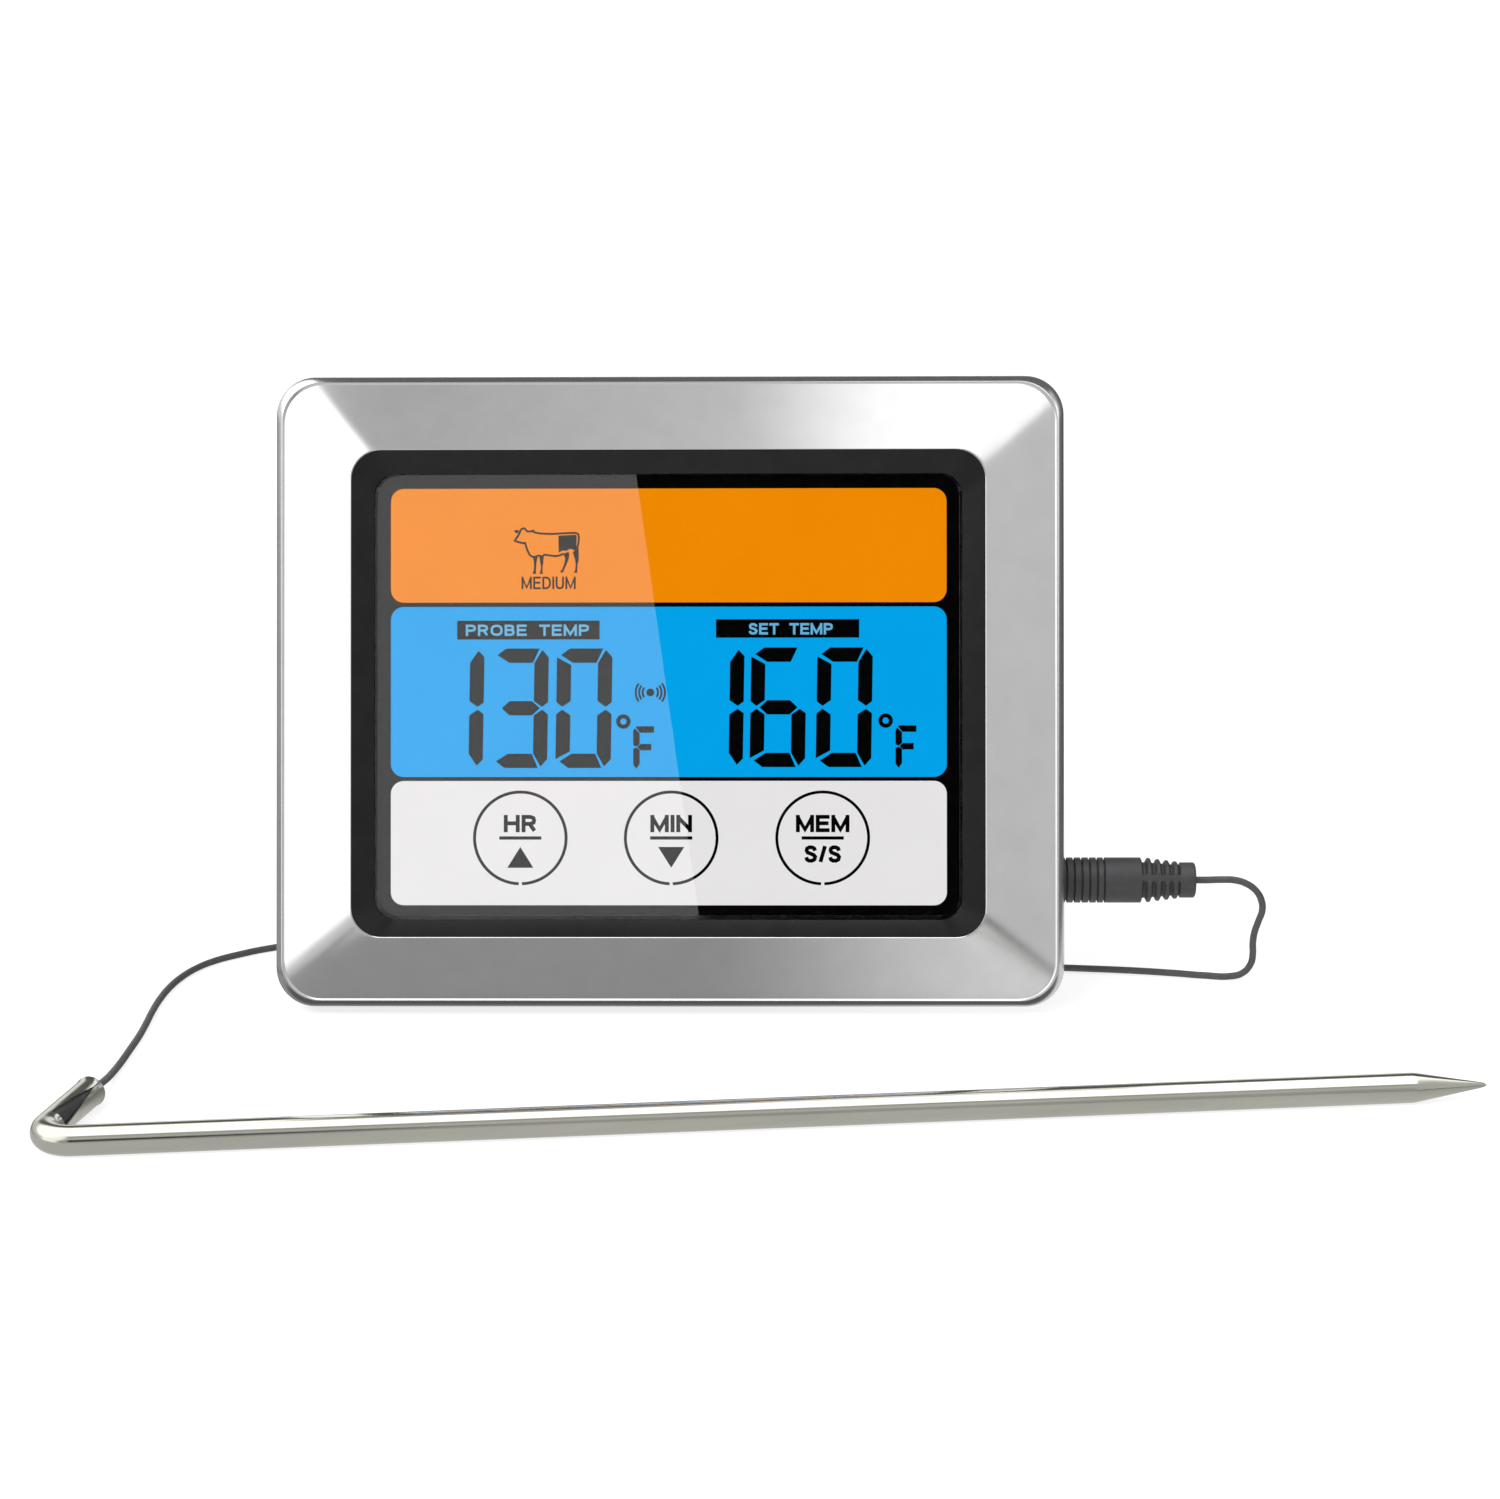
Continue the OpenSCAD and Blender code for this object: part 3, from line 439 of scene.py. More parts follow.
def plate(shape, y0, y1):
    """A flat plate between two depths"""
    return loft([outline(shape, y0), outline(shape, y1)])


def between(a, b, profile):
    """Loops between two outlines, at (share of the way from a to b, depth)"""
    return [outline(mix(a, b, t), y) for t, y in profile]


def rod(line, around, steps):
    """Loops of a round section: (centre, radius, side) points, with the section's other axis"""
    return [[tuple(centre + r * (math.cos(a) * side + math.sin(a) * around)) for a in circle(steps)]
            for centre, r, side in line]


# ---- front frame, ring and display ----

def make_frame():
    """Silver frame: rolled rim with a fine bead, broad slope and softened opening"""
    rim = [(0, 9.5), (0, 9.2), (0, 5.7), (0.02, 5.45), (0.07, 5.22), (0.2, 4.92), (0.4, 4.58),
           (0.62, 4.27), (0.78, 4.08), (0.84, 4.02), (0.9, 4.0), (0.95, 4.01), (1.12, 4.11)]
    slope = [(1.15, 4.12), (1.2, 4.1), (1.3, 4.06), (5.2, 2.14), (9.3, 0.18), (9.52, 0.075),
             (9.6, 0.05), (9.67, 0.08), (9.7, 0.16), (9.7, 0.4), (9.7, 1.5), (9.55, 1.68)]
    inside = [(9.2, 1.7), (6.0, 3.23), (3.0, 4.67), (1.8, 5.24), (1.6, 5.6), (1.6, 9.4),
              (1.5, 9.5), (0.1, 9.5)]
    width = FRAME_IN[1] + 0.55
    profile = [(d / width, y) for d, y in rim + slope + inside]
    shell = loft(between(FRAME_OUT, FRAME_IN, profile), closed=True)
    tube = [(2.9, 2.25), (12.0, 2.25), (12.0, 0.95), (6.0, 0.95), (6.0, 0.3), (2.9, 0.3)]
    bosses = [turned(tube, x, z) for x in (-42.2, 42.2) for z in (10.4, 70.6)]
    made = piece("silver_bezel", "unit", "silver_frame", *join(shell, *bosses))
    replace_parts(made, "front_frame")


def make_ring():
    """Gloss black ring that slopes down to the glass"""
    run = RING_OUT[0] - RING_IN[0]
    front = [(-0.5, 3.4), (-0.5, 2.8), (0, 2.8), (0, 0.3), (0.03, 0.2), (0.1, 0.14), (0.2, 0.16)]
    front += [(run - 0.1, 0.84), (run - 0.02, 0.86), (run, 0.9), (run, 1.2)]
    back = [(1.86, 1.2), (1.86, 3.3), (1.76, 3.4), (-0.4, 3.4)]
    profile = [(d / run, y) for d, y in front + back]
    ring = loft(between(RING_OUT, RING_IN, profile), closed=True)
    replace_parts(piece("window_bezel", "unit", "black_ring", *ring), "window_ring")


# Letters as lines through a box one unit high: the box's width, then the lines
GLYPHS = {
    "B": (0.62, [[(0.38, 0.53), (0, 0.53), (0, 1), (0.36, 1), (0.53, 0.93), (0.57, 0.77), (0.52, 0.6),
                  (0.38, 0.53), (0.57, 0.44), (0.62, 0.27), (0.55, 0.08), (0.38, 0), (0, 0), (0, 0.53)]]),
    "D": (0.68, [[(0, 0), (0, 1), (0.34, 1), (0.57, 0.89), (0.68, 0.66), (0.68, 0.34), (0.57, 0.11),
                  (0.34, 0), (0, 0)]]),
    "E": (0.6, [[(0.6, 1), (0, 1), (0, 0), (0.6, 0)], [(0, 0.52), (0.54, 0.52)]]),
    "H": (0.7, [[(0, 0), (0, 1)], [(0.7, 0), (0.7, 1)], [(0, 0.52), (0.7, 0.52)]]),
    "I": (0.0, [[(0, 0), (0, 1)]]),
    "M": (0.86, [[(0, 0), (0, 1)], [(0.02, 0.93), (0.43, 0.05), (0.84, 0.93)], [(0.86, 0), (0.86, 1)]]),
    "N": (0.7, [[(0, 0), (0, 1)], [(0.02, 0.93), (0.68, 0.07)], [(0.7, 0), (0.7, 1)]]),
    "O": (0.78, [[(0.39, 1), (0.64, 0.93), (0.77, 0.7), (0.77, 0.3), (0.64, 0.07), (0.39, 0),
                  (0.14, 0.07), (0.01, 0.3), (0.01, 0.7), (0.14, 0.93), (0.39, 1)]]),
    "P": (0.62, [[(0, 0), (0, 1), (0.4, 1), (0.58, 0.91), (0.62, 0.73), (0.58, 0.55), (0.4, 0.46),
                  (0, 0.46)]]),
    "R": (0.66, [[(0, 0), (0, 1), (0.4, 1), (0.58, 0.91), (0.62, 0.74), (0.58, 0.57), (0.4, 0.48),
                  (0, 0.48)], [(0.36, 0.46), (0.64, -0.04)]]),
    "S": (0.62, [[(0.6, 0.74), (0.54, 0.92), (0.4, 1), (0.2, 1), (0.06, 0.91), (0.03, 0.75),
                  (0.1, 0.61), (0.31, 0.52), (0.51, 0.43), (0.61, 0.29), (0.56, 0.09), (0.4, 0),
                  (0.2, 0), (0.06, 0.08), (0, 0.26)]]),
    "T": (0.66, [[(0, 1), (0.66, 1)], [(0.33, 1), (0.33, 0)]]),
    "U": (0.66, [[(0, 1), (0, 0.28), (0.08, 0.08), (0.24, 0), (0.42, 0), (0.58, 0.08), (0.66, 0.28),
                  (0.66, 1)]]),
    "/": (0.32, [[(0, -0.1), (0.32, 1.1)]]),
}


class Print:
    """Flat marks on the face, as polygons of (x, z) points"""

    def __init__(self):
        self.shapes = []

    def polygon(self, points):
        self.shapes.append([tuple(p) for p in points])

    def bar(self, x0, x1, z0, z1):
        self.polygon([(x0, z0), (x1, z0), (x1, z1), (x0, z1)])

    def strip(self, line, width, square_ends=False):
        """A line of that width with mitred bends"""
        line = [Vector(p) for p in line]
        if square_ends:
            for end, inner in ((0, 1), (-1, -2)):
                reach = (line[end] - line[inner]).normalized()
                if max(abs(reach.x), abs(reach.y)) > 0.999:
                    line[end] = line[end] + reach * width / 2
        closed = (line[0] - line[-1]).length < 1e-6
        steps = [(b - a).normalized() for a, b in zip(line, line[1:])]
        first, last = (steps[-1], steps[0]) if closed else (steps[0], steps[-1])
        left, right = [], []
        for p, before, after in zip(line, [first] + steps, steps + [last]):
            along = (before + after).normalized()
            across = Vector((-along.y, along.x)) * width / 2 / max(along.dot(before), 0.6)
            left.append(p + across)
            right.append(p - across)
        for i in range(len(line) - 1):
            self.polygon([left[i], left[i + 1], right[i + 1], right[i]])

    def arc(self, x, z, r, width, start, end, steps=40):
        angles = [math.radians(start + (end - start) * k / steps) for k in range(steps + 1)]
        self.strip([(x + r * math.cos(a), z + r * math.sin(a)) for a in angles], width)

    def disc(self, x, z, r):
        self.polygon([(x + r * math.cos(a), z + r * math.sin(a)) for a in circle(24)])

    def words(self, text, x0, x1, z0, z1, stroke):
        """Plain letters, fitted to a box"""
        gap, space = 0.34, 0.5
        total = sum(GLYPHS[c][0] if c != " " else space for c in text) + gap * (len(text) - 1)
        sx, sz = (x1 - x0 - stroke) / total, z1 - z0 - stroke
        at = 0.0
        for c in text:
            if c == " ":
                at += space + gap
                continue
            wide, lines = GLYPHS[c]
            left, low = x0 + stroke / 2 + sx * at, z0 + stroke / 2
            for line in lines:
                points = [(left + sx * u, low + sz * v) for u, v in line]
                self.strip(points, stroke, square_ends=True)
            at += wide + gap

    def made(self, name, y0, y1, mat, slot="lcd_glass"):
        """The marks as thin raised solids between two depths"""
        verts, faces = [], []
        for shape in self.shapes:
            n, at = len(shape), len(verts)
            verts += [(x, y0, z) for x, z in shape] + [(x, y1, z) for x, z in shape]
            for tri in tessellate_polygon([[Vector((x, z, 0)) for x, z in shape]]):
                faces.append(tuple(at + i for i in tri))
                faces.append(tuple(at + n + i for i in reversed(tri)))
            for i in range(n):
                j = (i + 1) % n
                faces.append((at + i, at + j, at + n + j, at + n + i))
        return piece(name, "unit", slot, verts, faces, mat=mat)


DIGIT_W, DIGIT_H, STROKE, SHEAR = 7.05, 15.2, 1.82, 0.016
SEGMENTS = {"0": "abcdef", "1": "bc", "3": "abcdg", "6": "acdefg"}


def segment_shapes(w, h, t):
    """The seven segments of a digit, each with its slanted ends"""
    mid = h / 2
    top = [(0.28 * t, h - 0.46 * t), (0.9 * t, h), (w - 0.65 * t, h), (w - 1.1 * t, h - t),
           (1.12 * t, h - t)]
    right = [(w - 0.46 * t, h - 0.1 * t), (w, h - 0.62 * t), (w, mid + 0.42 * t),
             (w - 0.42 * t, mid + 0.1 * t), (w - t, mid + 0.5 * t), (w - t, h - 1.02 * t)]
    left = [(0, h - 0.62 * t), (t, h - 1.16 * t), (t, mid + 0.5 * t), (0.42 * t, mid + 0.1 * t),
            (0, mid + 0.42 * t)]
    shapes = {"a": top, "b": right, "f": left}
    for upper, lower in (("a", "d"), ("b", "c"), ("f", "e")):
        shapes[lower] = [(x, h - z) for x, z in shapes[upper]]
    shapes["g"] = [(0.64 * t, mid), (1.18 * t, mid + t / 2), (w - 1.12 * t, mid + t / 2),
                   (w - 0.58 * t, mid), (w - 1.12 * t, mid - t / 2), (1.18 * t, mid - t / 2)]
    return shapes


def draw_number(ink, text, rights, base):
    """Digits with their right edges at the given places; a 1 has pointed ends of its own"""
    w, h, t = DIGIT_W, DIGIT_H, STROKE
    shapes = segment_shapes(w, h, t)
    upper = [(w - 0.42 * t, h - 0.16 * t), (w, h - 0.6 * t), (w, h / 2 + 0.4 * t),
             (w - 0.42 * t, h / 2 + 0.1 * t), (w - t, h / 2 + 0.5 * t), (w - t, h - t)]
    one = {"b": upper, "c": [(x, h - z) for x, z in upper]}
    for digit, edge in zip(text, rights):
        source = one if digit == "1" else shapes
        for name in SEGMENTS[digit]:
            ink.polygon([(edge - w + x + SHEAR * z, base + z) for x, z in source[name]])


def draw_degrees(ink, x, z):
    """Degree ring and a segment letter F, from the ring's centre"""
    ink.arc(x, z, 0.66, 0.52, 0, 360, 28)
    left, right, low, t = x + 1.25, x + 3.9, z - 6.0, 0.82
    top, mid = low + 5.4, low + 2.75
    ink.polygon([(left, mid + 0.25), (left + t / 2, mid + 0.05), (left + t, mid + 0.4),
                 (left + t, top - t - 0.05), (left + 0.2, top - 0.25), (left, top - 0.6)])
    ink.polygon([(left, mid - 0.2), (left, low + 0.5), (left + t / 2, low), (left + t, low + 0.6),
                 (left + t, mid - 0.35), (left + t / 2, mid - 0.05)])
    ink.polygon([(left + 0.3, top - 0.12), (left + 0.5, top), (right, top), (right, top - t),
                 (left + t + 0.05, top - t)])
    ink.polygon([(left + t / 2 + 0.1, mid), (left + t + 0.1, mid + t / 2), (right - 0.35, mid + t / 2),
                 (right - 0.35, mid - t / 2), (left + t + 0.1, mid - t / 2)])


def draw_signal(ink, x, z):
    """Radio sign: a dot between three arcs on each side"""
    ink.disc(x, z, 0.5)
    for side in (0, 180):
        for r in (0.98, 1.42, 1.86):
            ink.arc(x, z, r, 0.26, side - 38, side + 38, 14)


def draw_cattle(ink, x, z):
    """A plain outline of a steer with its rump filled"""
    outline_points = [
        (7.9, 2.8), (8.3, 3.6), (8.42, 4.6), (8.34, 5.02), (8.02, 5.22), (7.2, 5.2), (5.0, 5.08),
        (3.6, 5.13), (2.85, 5.25), (2.5, 5.44), (1.95, 5.38), (1.72, 5.5), (1.6, 5.7), (1.36, 5.8),
        (1.12, 5.72), (0.94, 5.48), (0.78, 5.05), (0.5, 4.62), (0.24, 4.22), (0.7, 4.06), (1.1, 3.93),
        (1.56, 3.94), (1.68, 3.5), (1.88, 2.9), (2.15, 2.42), (2.5, 2.16), (3.0, 2.2), (3.25, 2.34),
        (3.75, 2.22), (4.0, 2.44), (4.7, 2.34), (5.4, 2.25), (6.0, 2.36), (6.5, 2.58),
    ]
    ink.strip([(x + px, z + pz) for px, pz in outline_points], 0.25)
    filled = [
        [(2.58, 2.2), (3.18, 2.28), (3.04, 1.6), (2.96, 1.0), (2.93, 0.35), (2.96, 0.0), (2.5, 0.0),
         (2.62, 0.35), (2.7, 0.95), (2.66, 1.6)],
        [(3.36, 2.25), (3.94, 2.38), (3.86, 1.4), (3.78, 0.9), (3.78, 0.3), (3.83, 0.0), (3.4, 0.0),
         (3.52, 0.4), (3.58, 0.95), (3.46, 1.6)],
        [(6.46, 2.55), (7.0, 2.8), (7.2, 2.6), (7.12, 2.0), (6.98, 1.55), (6.72, 0.95), (6.46, 0.4),
         (6.42, 0.17), (6.0, 0.19), (6.3, 0.65), (6.56, 1.3), (6.66, 1.9)],
        [(7.62, 2.75), (7.9, 2.95), (8.36, 3.3), (8.42, 1.9), (8.25, 1.3), (8.19, 0.5), (8.22, 0.15),
         (7.72, 0.13), (7.95, 0.5), (8.0, 1.2), (7.92, 1.8)],
        [(5.8, 4.86), (7.2, 4.94), (8.02, 4.98), (8.14, 4.85), (8.08, 3.3), (7.94, 2.98), (7.25, 3.2),
         (6.8, 2.9), (6.4, 3.0), (5.84, 2.72)],
        [(0.13, 5.52), (0.4, 5.6), (0.7, 5.57), (0.78, 5.38), (0.6, 5.18), (0.36, 5.2)],
        [(2.15, 5.42), (2.4, 5.6), (2.8, 5.62), (2.66, 5.36)],
    ]
    for shape in filled:
        ink.polygon([(x + px, z + pz) for px, pz in shape])


KEYS = {"HR": -18.85, "MIN": 0.35, "MEM": 19.6}
KEY_Z, KEY_R = 21.66, 5.83


def draw_keys(ink):
    """The three touch keys: a ring open at its foot, a word, a bar and a mark"""
    half = {"HR": 2.1, "MIN": 2.65, "MEM": 3.4}
    for word, x in KEYS.items():
        ink.arc(x, KEY_Z, KEY_R, 0.38, -88, 268, 72)
        ink.words(word, x - half[word], x + half[word], KEY_Z + 0.72, KEY_Z + 2.92, 0.5)
        ink.bar(x - 2.68, x + 2.68, KEY_Z - 0.22, KEY_Z + 0.2)
    up, down = KEYS["HR"], KEYS["MIN"]
    low, high = KEY_Z - 3.8, KEY_Z - 1.15
    ink.polygon([(up - 1.66, low), (up + 1.66, low), (up, high)])
    ink.polygon([(down, low), (down + 1.66, high), (down - 1.66, high)])
    ink.words("S/S", KEYS["MEM"] - 2.35, KEYS["MEM"] + 2.35, KEY_Z - 3.15, KEY_Z - 0.95, 0.5)


def make_display():
    """Black mask, three lit zones and everything drawn on them"""
    mask = piece("display_mask", "unit", "lcd_glass", *plate(MASK, MASK_Y, MASK_BACK), mat=INK)
    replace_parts(mask, "lcd_front_glass")
    for name, shape in ZONES.items():
        zone = plate(shape, ZONE_Y, MASK_Y)
        piece(f"{name}_zone", "unit", f"{name}_light", *zone, mat=GLOWS[name])
    ink = Print()
    draw_number(ink, "130", (-23.65, -15.45, -7.35), 30.55)
    draw_number(ink, "160", (9.45, 17.35, 25.75), 30.65)
    draw_degrees(ink, -5.73, 36.45)
    draw_degrees(ink, 27.6, 36.55)
    draw_signal(ink, -2.3, 40.15)
    ink.bar(-26.9, -8.75, 46.9, 49.3)
    ink.bar(6.05, 24.25, 47.1, 49.45)
    draw_cattle(ink, -19.8, 55.25)
    ink.words("MEDIUM", -18.7, -11.8, 53.3, 54.9, 0.24)
    ink.made("display_segments", PRINT_Y, ZONE_Y, INK)
    pale = Print()
    pale.words("PROBE TEMP", -25.8, -10.1, 47.35, 48.8, 0.3)
    pale.words("SET TEMP", 10.2, 20.9, 47.5, 48.95, 0.3)
    pale.made("label_words", PRINT_Y - 0.015, PRINT_Y, PALE_INK, slot="blue_light")
    keys = Print()
    draw_keys(keys)
    made = keys.made("touch_keys", PRINT_Y, ZONE_Y, INK, slot="film")
    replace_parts(made, "touch_film")


# ---- plug ----

def plug_radius(u, spine):
    """Radius of the moulded grip at u mm along it; spine is 1 on the ridges that join its ribs"""
    r = GRIP_R
    if u < 0.3:
        r -= 0.3 - u
    for groove in GROOVES:
        r -= 0.3 * math.exp(-((u - groove) / 0.1) ** 4)
    if u > RELIEF:
        waist = 2.34 - 0.08 * (u - RELIEF)
        relief = waist
        for peak, high in RIBS:
            relief += (high - waist) * math.exp(-((u - peak) / 0.36) ** 4)
        ridge = 2.86 - 0.11 * (u - RELIEF)
        relief += (ridge - relief) * spine
        fade = min((u - RELIEF) / 0.2, 1)
        r += (relief - r) * fade * fade * (3 - 2 * fade)
    if u > COLLAR:
        r += (2.3 - r) * min((u - COLLAR) / 0.15, 1)
    end_round = 0.4
    if u > GRIP_L - end_round:
        into = (u - GRIP_L) / end_round + 1
        r -= end_round * (1 - math.sqrt(max(0.0, 1 - into ** 2)))
    return r


def make_plug():
    """Moulded grip with its grooves, ribbed strain relief and collar"""
    fine = [groove + 0.025 * k for groove in GROOVES for k in range(-7, 8)]
    stations = sorted([GRIP_L * i / 240 for i in range(241)] + fine)
    loops = []
    for u in stations:
        loop = []
        for a in circle(96):
            spine = min(max((abs(math.cos(a + 0.12)) - 0.975) / 0.015, 0), 1)
            r = plug_radius(u, spine)
            loop.append((u, r * math.cos(a), r * math.sin(a)))
        loops.append(loop)
    for u in (GRIP_L, GRIP_L - 1.2):
        loops.append([(u, HOLE_R * math.cos(a), HOLE_R * math.sin(a)) for a in circle(96)])
    place = UNIT @ Matrix.Translation(PLUG_AT)
    made = piece("plug_moulding", "probe", "charcoal_grip", *loft(loops), place=place, sharp=50)
    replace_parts(made, "plug_grip")
    return made


# ---- cable ----

def coil_points():
    """Neat coil in flat layers, wound inwards and outwards by turns, from the table up"""
    per_turn, levels = 24, len(COIL_LEVELS)
    out, into = COIL_RADII
    step_up = 0.96                             # share of a layer after which the cord climbs
    count = int(COIL_TURNS * per_turn)
    points = []
    for i in range(1, count):
        t = i / count * levels
        level = min(int(t), levels - 1)
        across = t - level
        r = out + (into - out) * (across if level % 2 == 0 else 1 - across)
        z = COIL_LEVELS[level]
        if level < levels - 1 and across > step_up:
            z += (COIL_LEVELS[level + 1] - z) * (across - step_up) / (1 - step_up)
        a = math.radians(-90) - 2 * math.pi * COIL_TURNS * i / count
        points.append((COIL_AT[0] + r * math.cos(a), COIL_AT[1] + r * math.sin(a), z))
    return points


def make_cable(plug):
    """One thin cable from the plug, down to the table, round the coil and on to the probe"""
    curve = bpy.data.curves.new("probe_cable", "CURVE")
    curve.dimensions = "3D"
    curve.bevel_depth = CABLE_D / 2 * MM
    curve.bevel_resolution = 3
    curve.resolution_u = 5
    curve.use_fill_caps = True
    points = PLUG_ROUTE + coil_points() + PROBE_ROUTE
    spline = curve.splines.new("BEZIER")
    spline.bezier_points.add(len(points) - 1)
    for knot, p in zip(spline.bezier_points, points):
        knot.co = Vector(p) * MM
        knot.handle_left_type = "AUTO"
        knot.handle_right_type = "AUTO"
    curve.materials.append(FINISH["cable_jacket"])
    cable = add_object("probe_cable", curve)
    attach(cable, "probe")
    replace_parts(cable, "cable_plug_side", "cable_coil", "cable_probe_side")
    tie = make_tie()


def make_tie():
    """Soft black band round the coil, with its two twisted ends on top"""
    lo, hi = (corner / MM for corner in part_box("coil_tie"))
    middle = (lo + hi) / 2
    t = 0.3
    half_x, half_y, half_z = (hi.x - lo.x) / 2, (hi.y - lo.y - t) / 2, (hi.z - lo.z - t) / 2
    boxy = 0.35                                # 1 would make the band an ellipse
    loops = []
    for a in circle(64):
        c, s = math.cos(a), math.sin(a)
        y = half_y * math.copysign(abs(c) ** boxy, c)
        z = half_z * math.copysign(abs(s) ** boxy, s)
        out = Vector((0, y / half_y ** 2, z / half_z ** 2)).normalized()
        centre = middle + Vector((0, y, z))
        loops.append([tuple(centre + Vector((half_x * math.cos(b), 0, 0)) + out * t / 2 * math.sin(b))
                      for b in circle(12)])
    parts = [loft(loops, closed=True)]
    top = Vector((middle.x, middle.y, hi.z - 0.1))
    for side in (-1, 1):
        tail = []
        for k in range(9):
            share = k / 8
            centre = top + Vector((side * (0.2 + 2.2 * share), side * 0.5 * share, -0.5 * share ** 2))
            twist = 2.5 * share
            wide = 0.42 * Vector((0, math.cos(twist), 0.6 * math.sin(twist)))
            thick = 0.12 * Vector((0, -math.sin(twist), math.cos(twist)))
            tail.append([tuple(centre + math.cos(b) * wide + math.sin(b) * thick)
                         for b in circle(10)])
        parts.append(loft(tail))
    made = piece("twist_tie", "probe", "black_plastic", *join(*parts), place=ROW, sharp=60)
    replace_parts(made, "coil_tie")
    return made


# ---- probe ----

def probe_line(points):
    """Loops of a round section along centre points (x, y, radius) in the plane of the bend"""
    line = []
    for i, (x, y, r) in enumerate(points):
        ax, ay, _ = points[max(i - 1, 0)]
        bx, by, _ = points[min(i + 1, len(points) - 1)]
        along = Vector((bx - ax, by - ay, 0)).normalized()
        line.append((Vector((x, y, 0)), r, VERTICAL.cross(along)))
    return rod(line, VERTICAL, 48)


def make_stem():
    """Polished stem with its bend and ground point, from the slot round the bend"""
    bore = [(u * HANDLE_DIR.x, u * HANDLE_DIR.y, PROBE_R - TUBE_T) for u in (4.5, SLOT_START)]
    line = [(u * HANDLE_DIR.x, u * HANDLE_DIR.y, PROBE_R) for u in (SLOT_START, 5.0, 4.7)]
    turn = math.pi - BEND_ANGLE
    for k in range(29):
        a = turn * (1 - k / 28)
        line.append((BEND_T - BEND_R * math.sin(a), BEND_R - BEND_R * math.cos(a), PROBE_R))
    ground = STEM_L - TIP_L
    straight = (6.0, 40.0, 80.0, 120.0, ground - 4.0, ground - 1.0, ground - 0.3)
    line += [(x, 0, PROBE_R) for x in straight]
    line += [(ground, 0, 1.79), (ground + 0.4, 0, 1.74)]
    line += [(ground + 0.4 + (TIP_L - 1.05) * s, 0, 1.74 - 1.4 * s) for s in (0.25, 0.5, 0.75, 1)]
    line += [(STEM_L - 0.3, 0, 0.25), (STEM_L - 0.07, 0, 0.13), (STEM_L, 0, 0.03)]
    stem_loops = probe_line(bore) + probe_line(line)
    made = piece("probe_stem", "probe", "stainless", *loft(stem_loops), place=PROBE)
    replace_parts(made, "probe_tube", "probe_tip")


def make_handle():
    """Rolled open end of the probe: a tapering slot, an overlapping seam and a turned lip"""
    steps, count = 40, 34
    side = HANDLE_DIR.cross(VERTICAL)
    slot_at, slot_half = math.radians(46), 44
    loops = []
    for i in range(count + 1):
        s = i / count
        u = SLOT_START + (HANDLE_L - SLOT_START) * s
        half_gap = math.radians(slot_half * max(0.0, 1 - s / 0.84) + 2.0)
        lip = 0.1 * max(0.0, (s - 0.9) / 0.1) ** 2
        loop = []
        for wall in (PROBE_R, PROBE_R - TUBE_T):
            for k in range(steps + 1):
                share = k / steps if wall == PROBE_R else 1 - k / steps
                a = slot_at + half_gap + 2 * (math.pi - half_gap) * share
                seam = max(0.0, share - 0.9) / 0.1
                r = wall + lip + (0.10 - 0.16 * s) * seam ** 2
                loop.append(tuple(HANDLE_DIR * u + r * (math.cos(a) * side + math.sin(a) * VERTICAL)))
        loops.append(loop)
    piece("probe_handle", "probe", "stainless", *loft(loops), place=PROBE)
    profile = [(SLOT_START - 0.6, 0.02), (SLOT_START - 0.6, 1.3), (SLOT_START - 0.4, 1.43),
               (17.2, 1.43), (17.6, 1.3), (17.8, 1.0), (17.85, 0.44), (17.85, 0.02)]
    loops = rod([(HANDLE_DIR * u, r, side) for u, r in profile], VERTICAL, 32)
    sleeve = piece("seal_sleeve", "probe", "black_plastic", *loft(loops), place=PROBE)
    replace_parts(sleeve, "cable_seal")


# ---- CAD nodes that stay ----

def finish_nodes():
    """Each carried-over node gets its material, and the outer mouldings softened edges"""
    slots = {part["node"]: part["material_slot"] for part in frame["record"]["subparts"]}
    softened = {"rear_case": 0.25, "battery_door": 0.25, "stand": 0.3, "unit_button": 0.2,
                "power_switch_knob": 0.12, "case_screws": 0.08, "magnets": 0.15, "stand_pin": 0.1}
    for name, obj in frame["nodes"].items():
        obj.data.materials.clear()
        obj.data.materials.append(FINISH[slots[name]])
        if name in softened:
            obj.modifiers.new("weld", "WELD").merge_threshold = 1e-6
            bevel = obj.modifiers.new("bevel", "BEVEL")
            bevel.width = softened[name] * MM
            bevel.segments = 2
            bevel.limit_method = "ANGLE"
            bevel.angle_limit = math.radians(40)
            obj.modifiers.new("weighted", "WEIGHTED_NORMAL").keep_sharp = False


# ---- stage and light ----

PANEL_RADIANCE = 0.95                          # of the lamp panel that the window mirrors


def emission(n, strength):
    return n.add("ShaderNodeEmission", {"Color": grey(1), "Strength": strength})


def staged(name, corners, mat):
    """A flat sheet that is part of the set, not of the object; its material lights nothing"""
    (x0, y0), (x1, y1), z = corners
    mesh = bpy.data.meshes.new(name)
    mesh.from_pydata([(x0, y0, z), (x1, y0, z), (x1, y1, z), (x0, y1, z)], [], [(0, 1, 2, 3)])
    mesh.materials.append(mat)
    mat.cycles.emission_sampling = "NONE"
    obj = add_object(name, mesh)
    return obj


